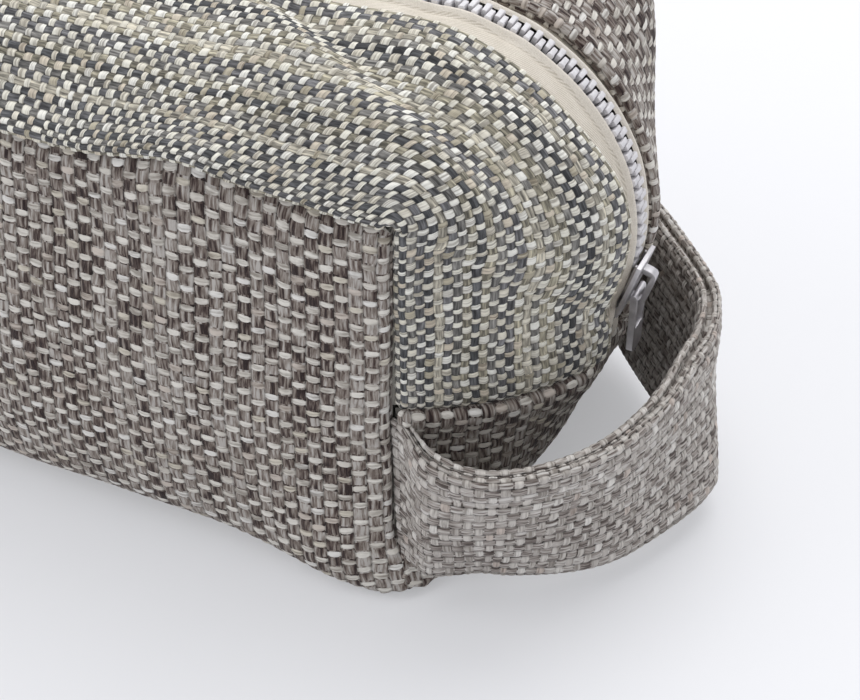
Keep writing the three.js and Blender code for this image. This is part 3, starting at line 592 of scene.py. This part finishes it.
def tape_weave(name):
    """Fine twill lines, which fade out on the beaded edge beside the teeth."""
    p = Paint(name, 0.85)
    u, v = p.cloth()
    wander = p.noise(p.vector(p.mul(u, 0.2), p.mul(v, 0.5)), 1.0, 2.0, 0.5)
    fuzz = p.noise(p.vector(p.mul(u, 4.0), p.mul(v, 6.0)), 1.0, 3.0, 0.6)
    twill = p.math("SINE", p.add(p.add(p.mul(u, 4.0), p.mul(v, 13.0)), p.mul(wander, 2.0)))
    lines = p.mul(twill, p.math("GREATER_THAN", v, TAPE_BEAD_EDGE))
    bead = p.mul(p.math("LESS_THAN", v, TAPE_BEAD_EDGE), 0.16)
    tone = p.add(p.add(p.mul(lines, 0.15), bead), p.add(p.mul(wander, 0.3), p.mul(fuzz, 0.7)))
    p.colour(p.ramp(tone, [(0.25, (0.50, 0.445, 0.36)), (0.75, (0.80, 0.745, 0.66))]))
    p.bump(tone, 0.6, 0.0004)
    return p.material


tape_cloth = tape_weave("zipper_tape")
lining_cloth = plain_cloth("lining_cloth", (0.34, 0.32, 0.28), (0.50, 0.48, 0.43), across=12.0, along=12.0)


def moulded(name, dark, light, rough, metal=0.0, scale=900.0):
    p = Paint(name, rough)
    mottle = p.noise(p.object_place(), scale, 3.0, 0.6)
    p.colour(p.ramp(mottle, [(0.3, dark), (0.7, light)]))
    p.put(p.shader.inputs["Roughness"], p.add(p.mul(mottle, 0.25), rough - 0.1))
    p.shader.inputs["Metallic"].default_value = metal
    p.bump(mottle, 0.12, 0.0001)
    return p.material


teeth_resin = moulded("zipper_teeth", (0.58, 0.565, 0.58), (0.70, 0.685, 0.70), 0.42)
slider_metal = moulded("slider_metal", (0.50, 0.485, 0.50), (0.63, 0.615, 0.63), 0.42, 1.0, 500.0)


def finish_piece(obj, material, body="bag", replaced=(), blend=None):
    obj.data.materials.clear()
    obj.data.materials.append(material)
    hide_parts(*replaced)
    if blend:
        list(blend[:2])
        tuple(blend[2])
        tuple(blend[3])
        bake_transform(obj)
    else:
        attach(obj, body)
    return obj


def top_rows(half):
    """y of a row of the top against its distance along the cloth from the zipper edge."""
    y = np.linspace(CLOTH_EDGE[half] + EDGE_ROLL[half], HALF_WIDTH, 400)
    z = lerp(TOP_HEIGHT, EDGE_HEIGHT[half], (y / HALF_WIDTH) ** CREST[half])
    return run_length(y, z), y


# Accent panel: front half of the top and the upper front half of both ends
q_rows, y_rows = top_rows(FRONT)
q_end = float(q_rows[-1])
end_v = np.linspace((CLOTH_EDGE[FRONT] + EDGE_ROLL[FRONT]) / HALF_WIDTH, 1, 400)
END_SWELL = 27.0
end_q = run_length(end_v * HALF_WIDTH, END_SWELL * end_v ** 2)


# The front's top seam wanders up and down between the corner seams
RISE_X = [-110, -90, -62, -38, -15, 10, 28, 44, 50, 55, 63, 69, 75, 83.5, 90.7, 95.5, 110]
RISE_Z = [0, 0.3, -0.8, 0.9, -0.6, 0.9, -1.1, -0.9, -0.4, 0.5, 2.2, 2.7, 1.5, 0.9, 0.6, 0, 0]


def seam_rise(x):
    return sum(np.interp(x + d, RISE_X, RISE_Z) for d in (-3, -1.5, 0, 1.5, 3)) / 5


def raised(p, amount):
    return p + amount[..., None] * np.array([0.0, 0.0, 1.0])


def on_top(u):
    return smoothstep(132, 124, np.abs(u))


# The cloth's edge comes nearer to the zipper on the ends, and more beyond the slider
END_CLOSING = 3.0
SEAM_CLOSING = 2.0


def accent_base(u, q):
    on_end = smoothstep(95, 150, np.abs(u))
    y_end = np.interp(q / q_end * end_q[-1], end_q, end_v * HALF_WIDTH)
    y = lerp(np.interp(q, q_rows, y_rows), y_end, on_end)
    s = np.abs(u)
    closing = END_CLOSING * smoothstep(128, 150, s) + SEAM_CLOSING * smoothstep(171, 176, s)
    p = top_skin(FRONT, u, y - closing * (1 - q / q_end) ** 2)
    return raised(p, seam_rise(p[..., 0]) * np.exp(-((q_end - q) / 9.0) ** 2) * on_top(u))


def seam_wave(x):
    return 0.6 * np.sin(x / 7.3 + 0.9 * np.sin(x / 17.0)) * smoothstep(103, 85, np.abs(x))


# A pucker across the top: a valley along this line, with a full fold on its front side
CREASE_X = [40, 69.7, 87, 103, 113, 121, 130]
CREASE_Y = [4, 13.4, 22, 28.2, 30.7, 28.2, 24]
PUCKER_DEPTH = 1.8


def pucker(u, p):
    x, y = p[..., 0], -p[..., 1]
    d = 0.89 * (y - np.interp(x, CREASE_X, CREASE_Y))
    valley = -PUCKER_DEPTH * smoothstep(-9, -1, d)
    fold = PUCKER_DEPTH * smoothstep(24, 4.5, d)
    between = lerp(-PUCKER_DEPTH, PUCKER_DEPTH, smoothstep(-1, 4.5, d))
    relief = np.where(d < -1, valley, np.where(d < 4.5, between, fold))
    return relief * smoothstep(48, 75, x) * smoothstep(11, 15, y) * smoothstep(146, 122, u)


def accent_soft(u, q, p):
    x = p[..., 0]
    wave = seam_wave(x) * np.exp(-((q_end - q) / 8.0) ** 2) * on_top(u)
    lip = 1.2 * np.exp(-((q_end - q) / 3.5) ** 2) * on_top(u)
    return wave + lip + pucker(u, p) * smoothstep(0, 6, q_end - q) + 0.3 * ripples(u, q, 30, 11)


def accent_limit(u):
    return q_end + lerp(-2.7, 0.4, smoothstep(131, 125, np.abs(u)))


accent_rows = steps(-3.6, q_end + 3.2, ACCENT.pitch[1], 5)
accent_reach = TOP_REACH - lerp(2.0, 3.8, smoothstep(1, 10, accent_rows))
accent_grid = panel(
    accent_base,
    steps(-TOP_REACH - 2.5, TOP_REACH + 2.5, ACCENT.pitch[0], 5), accent_rows,
    (-accent_reach, accent_reach), (0, accent_limit), ACCENT, accent_soft,
    3.4, lambda u: lerp(2.0, 1.5, smoothstep(131, 125, np.abs(u))),
)
accent = cloth_object("accent_cloth", [accent_grid], from_middle)
finish_piece(accent, accent_cloth, replaced=["accent_panel"])


# Grey cloths
def side_soft(half):
    def soft(u, down, p):
        wave = seam_wave(p[..., 0]) * np.exp(-(down / 6.0) ** 2) - 1.7 * np.exp(-(down / 3.8) ** 2)
        return wave * (half == FRONT) + 0.5 * ripples(u, down, 40, 21 + half)
    return soft


def side_base(half):
    def base(u, down):
        p = side_skin(half, u, down)
        return raised(p, (half == FRONT) * seam_rise(p[..., 0]) * np.exp(-(down / 12.0) ** 2))
    return base


def turned(u, v):
    return v, u


def grey_side(half, per_cell):
    edge = EDGE_HEIGHT[half]
    rows = steps(-1.2 if half == FRONT else 0, edge, GREY.pitch[1], per_cell)
    reach = HALF_LENGTH - lerp(SEAM_ROLL[half], CORNER_GAP, smoothstep(edge - 17, edge - 7, rows))
    return panel(
        side_base(half),
        steps(-HALF_LENGTH - 2.2, HALF_LENGTH + 2.2, GREY.pitch[0], per_cell), rows,
        (-reach, reach),
        (1.5 if half == FRONT else 0, lambda u: edge - 3.0 * smoothstep(92, 102, np.abs(u))),
        GREY, side_soft(half), 2.2, 1.6, uv=None if half == FRONT else turned,
    )


def grey_bottom(half):
    return panel(
        lambda u, y: bottom_skin(half, u, y / HALF_WIDTH),
        steps(-HALF_LENGTH + 3, HALF_LENGTH - 3, 2.63, 2), steps(0, HALF_WIDTH, 2.0, 2),
        (-HALF_LENGTH, HALF_LENGTH), (0, lambda u: HALF_WIDTH - 7 * smoothstep(86, 102, np.abs(u))),
    )


flap_y = np.linspace(0, HALF_WIDTH + 6, 300)
flap_s = run_length(flap_y, END_SEAM_REACH * (flap_y / HALF_WIDTH) ** 2)


def grey_flap(end, half, per_cell):
    def soft(y, q, p):
        # The rolled edge is hollow in the middle, where the zipper's pull lies on it
        lip = 1.4 * np.exp(-((FLAP_RISE - q) / 6.0) ** 2) * lerp(-0.9, 1.0, smoothstep(4.5, 14, y))
        return lip + 0.3 * ripples(y, q, 25, 61)
    rows = steps(0, FLAP_RISE + 3.5, 2.4, per_cell)
    reach = HALF_WIDTH - lerp(CORNER_GAP, FLAP_ROLL[half], smoothstep(9, 23, rows))
    return panel(
        lambda y, q: flap_skin(end, half, y, q / FLAP_RISE),
        steps(-0.1, HALF_WIDTH + 1.2, 2.0, per_cell), rows,
        (-0.1, reach), (lambda y: 5.5 * smoothstep(34, 44, y), FLAP_RISE - 0.4), GREY, soft, 2.0, 1.5,
        uv=lambda y, q: (np.interp(y, flap_y, flap_s), q * 0.74),
    )


front_grids = [grey_side(FRONT, 5), grey_bottom(FRONT), grey_flap(1, FRONT, 5), grey_flap(-1, FRONT, 3)]
front = cloth_object("front_cloth", front_grids, from_middle)
finish_piece(front, grey_cloth, replaced=["front_panel"])

q_back, y_back = top_rows(BACK)


def back_base(u, q):
    return top_skin(BACK, u, np.interp(q, q_back, y_back))


back_top = panel(
    back_base,
    steps(-TOP_REACH - 2.5, TOP_REACH + 2.5, 0.42, 1), steps(-4.2, float(q_back[-1]), 0.52, 1),
    (-TOP_REACH + 2.5, TOP_REACH - 2.5), (0, float(q_back[-1])), GREY,
    lambda u, q, p: 0.4 * ripples(u, q, 35, 17), 3.0, 1.5, turned,
)
back_grids = [back_top, grey_side(BACK, 4), grey_bottom(BACK), grey_flap(1, BACK, 4), grey_flap(-1, BACK, 3)]
back = cloth_object("back_cloth", back_grids, from_middle)
finish_piece(back, grey_cloth, replaced=["back_panel"])


# Lining, one cloth in each half, inside the panels
UNROLLED = ((-400, 400), (0, 100))


def inside(base, depth):
    def moved(u, v):
        p, e = base(u, v), 0.6
        n = unit(np.cross(base(u + e, v) - base(u - e, v), base(u, v + e) - base(u, v - e)))
        n = n * np.sign((n * from_middle(p)).sum(-1, keepdims=True))
        return p - depth * n
    return moved


def lining_grids(half):
    def face(base, us, vs):
        return panel(inside(base, LINING_DEPTH), us, vs, *UNROLLED)

    def spread(reach, count):
        return np.linspace(-reach, reach, count)

    return [
        face(lambda u, y: top_skin(half, u, y),
             spread(TOP_REACH - 0.3, 180), np.linspace(15.3, HALF_WIDTH, 40)),
        face(lambda u, down: side_skin(half, u, down),
             spread(HALF_LENGTH - 0.7, 90), np.linspace(0.7, EDGE_HEIGHT[half] - 0.7, 60)),
        face(lambda u, y: bottom_skin(half, u, y / HALF_WIDTH),
             spread(HALF_LENGTH - 3, 90), np.linspace(0, HALF_WIDTH - 1, 30)),
        *[face(lambda y, q: flap_skin(end, half, y, q / FLAP_RISE),
               np.linspace(0, HALF_WIDTH - 0.7, 40), np.linspace(0.6, 59.3, 40)) for end in (1, -1)],
    ]


for half, name in ((FRONT, "front"), (BACK, "back")):
    grids = lining_grids(half)
    lining = cloth_object(f"{name}_lining_cloth", grids, from_middle)
    finish_piece(lining, lining_cloth, replaced=[f"{name}_lining"])


# Zipper tapes
def past_stops(u):
    return np.where(u < 0, smoothstep(166.8, 168.8, -u), smoothstep(176.5, 178.5, u))


def tape_base(half):
    """The tape's inner edge runs beside the teeth, and meets the other tape beyond the stops."""
    def base(u, y):
        return top_skin(half, u, y - 0.975 * past_stops(u) * np.maximum(0, 4.1 - y))
    return inside(base, TAPE_DEPTH)


def tape_soft(half):
    def soft(u, y, p):
        bead = 0.95 * np.exp(-((y - 2.8) / 0.62) ** 2) - 0.3 * np.exp(-((y - 4.2) / 0.5) ** 2)
        front_sunk, back_sunk = 1.3 * smoothstep(10, 13, y), 1.2 * smoothstep(TAPE_BEAD_EDGE, 5.0, y)
        sunk = front_sunk if half == FRONT else back_sunk
        return bead * (1 - past_stops(u)) - sunk + 0.1 * ripples(u, y, 14, 41)
    return soft


for half, name in ((FRONT, "front"), (BACK, "back")):
    grid = panel(tape_base(half), steps(-TOP_REACH + 0.8, TOP_REACH - 0.8, 1.0, 1.5),
                 steps(2.1, 15.8, 0.25, 1), *UNROLLED, soft=tape_soft(half))
    tape = cloth_object(f"{name}_tape_cloth", [grid], from_middle)
    finish_piece(tape, tape_cloth, replaced=[f"{name}_tape"])


# Zipper chain
def chain_frame(s):
    """Place, along, outward of the chain's middle line at the distance s from the pouch's middle."""
    side, d = (1 if s >= 0 else -1), abs(s)
    arc_end = CHAIN_RUN + CHAIN_RADIUS * (math.pi / 2 + UNDERCUT)
    if d <= CHAIN_RUN:
        place = np.array([s, 0, TOP_HEIGHT - CHAIN_DEPTH])
        return place, np.array([1.0, 0, 0]), np.array([0, 0, 1.0])
    angle = min((d - CHAIN_RUN) / CHAIN_RADIUS, math.pi / 2 + UNDERCUT)
    out = np.array([side * math.sin(angle), 0, math.cos(angle)])
    along = np.array([math.cos(angle), 0, -side * math.sin(angle)])
    centre = np.array([side * CHAIN_RUN, 0, TOP_HEIGHT - CHAIN_DEPTH - CHAIN_RADIUS])
    place = centre + CHAIN_RADIUS * out
    return place + max(0, d - arc_end) * side * along, along, out


def bevelled(boxes, width, segments=2):
    """Rounded boxes as one small mesh: [(low corner, high corner, taper at the far y end)]."""
    bm = bmesh.new()
    for low, high, taper in boxes:
        made = bmesh.ops.create_cube(bm, size=1)["verts"]
        for vert in made:
            k = taper if vert.co.y > 0 else 1.0
            for axis in range(3):
                middle, span = (low[axis] + high[axis]) / 2, high[axis] - low[axis]
                vert.co[axis] = middle + vert.co[axis] * span * (k if axis != 1 else 1)
    bmesh.ops.bevel(bm, geom=list(bm.edges), offset=width, segments=segments, profile=0.5, affect="EDGES")
    bm.verts.index_update()
    points = np.array([v.co[:] for v in bm.verts])
    faces = [[v.index for v in f.verts] for f in bm.faces]
    bm.free()
    return points, faces


TEETH_EACH_WAY = 65
tooth_points, tooth_faces = bevelled([
    ((-0.50, -1.9, -1.12), (0.50, 0.62, 1.12), 0.92),
    ((-0.62, -1.95, -1.0), (0.62, -1.2, 1.0), 0.9),
], 0.13)
for half, name, offset in ((FRONT, "front", 0.0), (BACK, "back", TOOTH_PITCH / 2)):
    points, faces = [], []
    for n in range(-TEETH_EACH_WAY, TEETH_EACH_WAY + 1):
        place, along, out = chain_frame(n * TOOTH_PITCH + offset)
        across = np.array([0, -half, 0.0])
        axes = np.stack([along, across, out])
        count = sum(len(p) for p in points)
        points.append(place + tooth_points * (1 + 0.03 * rng.normal(size=(1, 3))) @ axes)
        mirrored = np.linalg.det(axes) < 0
        faces += [[count + k for k in (f[::-1] if mirrored else f)] for f in tooth_faces]
    teeth = mesh_object(f"{name}_tooth_row", np.concatenate(points), faces)
    finish_piece(teeth, teeth_resin, replaced=[f"{name}_teeth"])


# Metal pieces: the CAD's own forms with rounded edges
def rounded_copy(node, name, width):
    source = frame["nodes"][node]
    obj = bpy.data.objects.new(name, source.data.copy())
    obj.data.transform(source.matrix_world)
    bpy.context.scene.collection.objects.link(obj)
    bm = bmesh.new()
    bm.from_mesh(obj.data)
    bmesh.ops.remove_doubles(bm, verts=bm.verts, dist=1e-6)
    bmesh.ops.dissolve_limit(bm, angle_limit=math.radians(1), verts=bm.verts, edges=bm.edges)
    bm.to_mesh(obj.data)
    bm.free()
    bevel = obj.modifiers.new("bevel", "BEVEL")
    bevel.width, bevel.segments = width, 3
    bevel.limit_method, bevel.angle_limit = "ANGLE", math.radians(35)
    obj.data.polygons.foreach_set("use_smooth", np.ones(len(obj.data.polygons), bool))
    return obj


for node, name, width, rides in (
    ("slider_body", "slider", 0.00022, "slider"),
    ("pull_tab", "pull", 0.00018, "pull"),
    ("bottom_stop", "bottom_stop_clip", 0.00025, "bag"),
    ("front_top_stop", "front_top_stop_clip", 0.00025, "bag"),
    ("back_top_stop", "back_top_stop_clip", 0.00025, "bag"),
):
    finish_piece(rounded_copy(node, name, width), slider_metal, rides, [node])


# Wrist loop: the middle line of each half runs from its corner seam to the tip, as a cubic curve
LOOP_FRONT_HALF = [(105.5, -44.6), (128.2, -53.4), (147.2, -23.1), (148.2, 0.0)]
LOOP_BACK_HALF = [(148.2, 0.0), (148.2, 10.0), (121.0, 44.5), (105.5, 44.6)]
LOOP_LEAN = {FRONT: 5.8, BACK: 2.2}
LOOP_TIP_LEAN = -2.6
ROOT_LIFT = 4.2
LOOP_HEIGHT = LOOP_TOP - LOOP_BOTTOM
LOOP_HALF_THICKNESS = 2.2
CURVE_POINTS = 600
STRAP_STEP = 0.34


def cubic(points):
    t = np.linspace(0, 1, CURVE_POINTS)[:, None]
    weights = ((1 - t) ** 3, 3 * (1 - t) ** 2 * t, 3 * (1 - t) * t ** 2, t ** 3)
    return sum(w * np.array(p) for w, p in zip(weights, points))


whole = np.concatenate([cubic(LOOP_FRONT_HALF), cubic(LOOP_BACK_HALF)[1:]])
length = run_length(whole[:, 0], whole[:, 1])
LOOP_LENGTH, LOOP_TIP = float(length[-1]), float(length[CURVE_POINTS - 1])


def on_line(distance):
    return np.interp(distance, length, whole[:, 0]), np.interp(distance, length, whole[:, 1])


def loop_section(ridge, gap):
    """Places out and up, round the strap: two ridges of this radius at the top, one fold at the foot."""
    half_thick, height = LOOP_HALF_THICKNESS, LOOP_HEIGHT / 2
    turn = np.linspace(0, math.pi, 13)
    fold = np.stack([ridge * np.cos(turn), height - 0.95 + 0.95 * np.sin(turn)], -1)
    foot = np.stack([-half_thick * np.cos(turn), 1.3 - height - 1.3 * np.sin(turn)], -1)
    side = half_thick - ridge
    groove = np.array([[0.22, height - gap], [-0.22, height - gap]])
    return np.concatenate([foot[-1:], fold + [side, 0], groove, fold - [side, 0], foot])


# One broad fold along the front half, which parts into two ridges round the tip and along the back half
two_folds, one_fold = loop_section(0.95, 2.1), loop_section(1.1, 0.1)
sec_d = run_length(two_folds[:, 0], two_folds[:, 1])
sec_s = steps(0, float(sec_d[-1]), STRAP_STEP, 1)
two_out, two_up = (np.interp(sec_s, sec_d, two_folds[:, k]) for k in (0, 1))
one_out, one_up = (np.interp(sec_s, sec_d, one_fold[:, k]) for k in (0, 1))
along = steps(-1.5, LOOP_LENGTH + 1.5, STRAP_STEP, 1)
uu, ss = np.meshgrid(along, sec_s, indexing="ij")
uc = np.clip(uu, 0, LOOP_LENGTH)
parted = lerp(0.12, 1.0, smoothstep(0.55 * LOOP_TIP, 0.98 * LOOP_TIP, uc))
out_flat, up_flat = lerp(one_out, two_out, parted), lerp(one_up, two_up, parted)
(px, py), (ahead_x, ahead_y), (behind_x, behind_y) = on_line(uc), on_line(uc + 0.5), on_line(uc - 0.5)
tx, ty = ahead_x - behind_x, ahead_y - behind_y
norm = np.hypot(tx, ty)
tx, ty = tx / norm, ty / norm
from_root = np.minimum(uc, LOOP_LENGTH - uc)
grown = smoothstep(0, 10, from_root)
on_front = uc < LOOP_TIP
share = np.where(on_front, uc / LOOP_TIP, (LOOP_LENGTH - uc) / (LOOP_LENGTH - LOOP_TIP))
front_lean = LOOP_LEAN[FRONT] * smoothstep(0, 0.27, share) * smoothstep(0.78, 0.26, share)
top_lean = np.where(on_front, front_lean, LOOP_LEAN[BACK] * np.sin(math.pi * share))
lean = (top_lean + LOOP_TIP_LEAN * smoothstep(0.7, 1, share)) * up_flat / LOOP_HEIGHT * 2
out = out_flat * lerp(0.5, 1.0, grown) + lean + 0.35 * ripples(uu, ss, 38, 51) * grown
crease = 0.5 * np.exp(-((up_flat - 13.6) / 2.6) ** 2) - 0.8 * np.exp(-((up_flat - 9.8) / 0.6) ** 2)
side = out + crease * np.sign(out_flat) * grown
foot_lift = ROOT_LIFT * (1 - smoothstep(3, 24, from_root)) * np.maximum(0, -2 * up_flat / LOOP_HEIGHT)
z = (LOOP_TOP + LOOP_BOTTOM) / 2 + up_flat + foot_lift + 0.35 * ripples(uu, 0 * ss, 30, 52) * grown
over = uu - uc
flare = (corner_x(z) - HALF_LENGTH) * (1 - grown)
tuck = 2.2 * np.sign(py) * (1 - smoothstep(0, 9, from_root))
bulge = np.where(on_front, foot_bulge(FRONT, HALF_LENGTH, z), 0)
tuck = tuck + bulge * (1 - smoothstep(2, 20, from_root))
base = np.stack([px + ty * side + tx * over + flare, py - tuck - tx * side + ty * over, z], -1)
gu = np.gradient(base, axis=0)
gs = np.gradient(base, axis=1)
normal = unit(np.cross(gu, gs))
strap_u, strap_v = uu + 0.12 * ripples(uu, ss, 16, 53), ss + 0.12 * ripples(uu, ss, 16, 54)
centre = np.stack([px + flare, py - tuck, z - up_flat], -1)
if ((base - centre) * normal).sum(-1).mean() < 0:
    normal = -normal
strap_area = grid_area(base) / 2
strap_points = base + (STRAP.height(strap_u, strap_v) - STRAP_SINK)[..., None] * normal
n, m = strap_points.shape[:2]
rows = np.arange(n)[:, None] * (m - 1)
body = strap_points[:, :-1].reshape(-1, 3)
ring = (rows + np.append(np.arange(m - 1), 0)[None, :])
quads = np.stack([ring[:-1, :-1], ring[1:, :-1], ring[1:, 1:], ring[:-1, 1:]], -1).reshape(-1, 4)
caps = [list(range(m - 2, -1, -1)), list(range((n - 1) * (m - 1), n * (m - 1)))]
strap_faces = [list(map(int, q)) for q in quads] + caps
strap_places = np.stack([strap_u, strap_v], -1)[:, :-1].reshape(-1, 2)
strap = mesh_object("strap", body, strap_faces, strap_places)
bm = bmesh.new()
bm.from_mesh(strap.data)
bmesh.ops.recalc_face_normals(bm, faces=bm.faces)
bm.to_mesh(strap.data)
bm.free()
start, end = world([[105.5, 0, 23]])[0], world([[125.0, 0, 23]])[0]
finish_piece(strap, strap_cloth, replaced=["wrist_loop"],
             blend=("bag", "loop", tuple(start), tuple(end)))


# Stage: the camera sees the floor partly as plain white, which lifts its shadow
FLOOR_PALE = (0.90, 0.905, 0.925)
FLOOR_LIFT = 0.36


def stage_paint(name, colour):
    p = Paint(name, 0.95)
    p.shader.inputs["Base Color"].default_value = (*colour, 1)
    p.shader.inputs["Specular IOR Level"].default_value = 0.1
    path = p.tree.nodes.new("ShaderNodeLightPath")
    seen = p.add(path.outputs["Is Camera Ray"], path.outputs["Is Glossy Ray"])
    seen = p.add(seen, path.outputs["Is Transmission Ray"])
    pale = p.tree.nodes.new("ShaderNodeEmission")
    pale.inputs["Color"].default_value = (*FLOOR_PALE, 1)
    blend = p.tree.nodes.new("ShaderNodeMixShader")
    p.put(blend.inputs[0], p.mul(seen, FLOOR_LIFT))
    p.put(blend.inputs[1], p.shader.outputs[0])
    p.put(blend.inputs[2], pale.outputs[0])
    p.put(p.tree.nodes["Material Output"].inputs["Surface"], blend.outputs[0])
    return p.material


floor_mesh = bpy.data.meshes.new("floor")
floor_mesh.from_pydata([(-4, -4, 0), (4, -4, 0), (4, 4, 0), (-4, 4, 0)], [], [(0, 1, 2, 3)])
floor = bpy.data.objects.new("floor", floor_mesh)
floor.location.z = -0.0006
bpy.context.scene.collection.objects.link(floor)
floor_mesh.materials.append(stage_paint("floor", (0.79, 0.793, 0.815)))

world_data = bpy.data.worlds.new("studio")
bpy.context.scene.world = world_data
world_data.use_nodes = True
world_data.node_tree.nodes["Background"].inputs["Color"].default_value = (0.95, 0.962, 1.0, 1)
world_data.node_tree.nodes["Background"].inputs["Strength"].default_value = 0.80


def soft_light(name, place, target, size, power):
    data = bpy.data.lights.new(name, "AREA")
    data.shape, data.size, data.energy = "DISK", size, power
    light = bpy.data.objects.new(name, data)
    light.location = place
    light.rotation_euler = (Vector(target) - Vector(place)).to_track_quat("-Z", "Y").to_euler()
    bpy.context.scene.collection.objects.link(light)


soft_light("key", (0.0, 0.48, 0.92), (0.04, 0, 0.03), 1.1, 7.0)
soft_light("fill", (-0.75, -0.55, 0.70), (0.0, 0, 0.03), 0.9, 2.2)

CAMERA_RIGHT = Vector((0.9063, 0.4226, 0.0))
CAMERA_BACK = Vector((0.3237, -0.6943, 0.6428))
CAMERA_UP = CAMERA_BACK.cross(CAMERA_RIGHT)
near_corner = Vector(world([[HALF_LENGTH, -HALF_WIDTH, EDGE_HEIGHT[FRONT]]])[0])
place = near_corner + 0.00628 * CAMERA_RIGHT - 0.01963 * CAMERA_UP + 0.267 * CAMERA_BACK
camera_data = bpy.data.cameras.new("camera")
camera_data.sensor_fit, camera_data.sensor_width, camera_data.lens = "HORIZONTAL", 36, 71.163
camera_data.clip_start = 0.01
camera = bpy.data.objects.new("camera", camera_data)
camera.matrix_world = Matrix((
    (CAMERA_RIGHT.x, CAMERA_UP.x, CAMERA_BACK.x, place.x),
    (CAMERA_RIGHT.y, CAMERA_UP.y, CAMERA_BACK.y, place.y),
    (CAMERA_RIGHT.z, CAMERA_UP.z, CAMERA_BACK.z, place.z),
    (0, 0, 0, 1),
))
bpy.context.scene.collection.objects.link(camera)
bpy.context.scene.camera = camera
bpy.context.scene.view_settings.view_transform = "Standard"
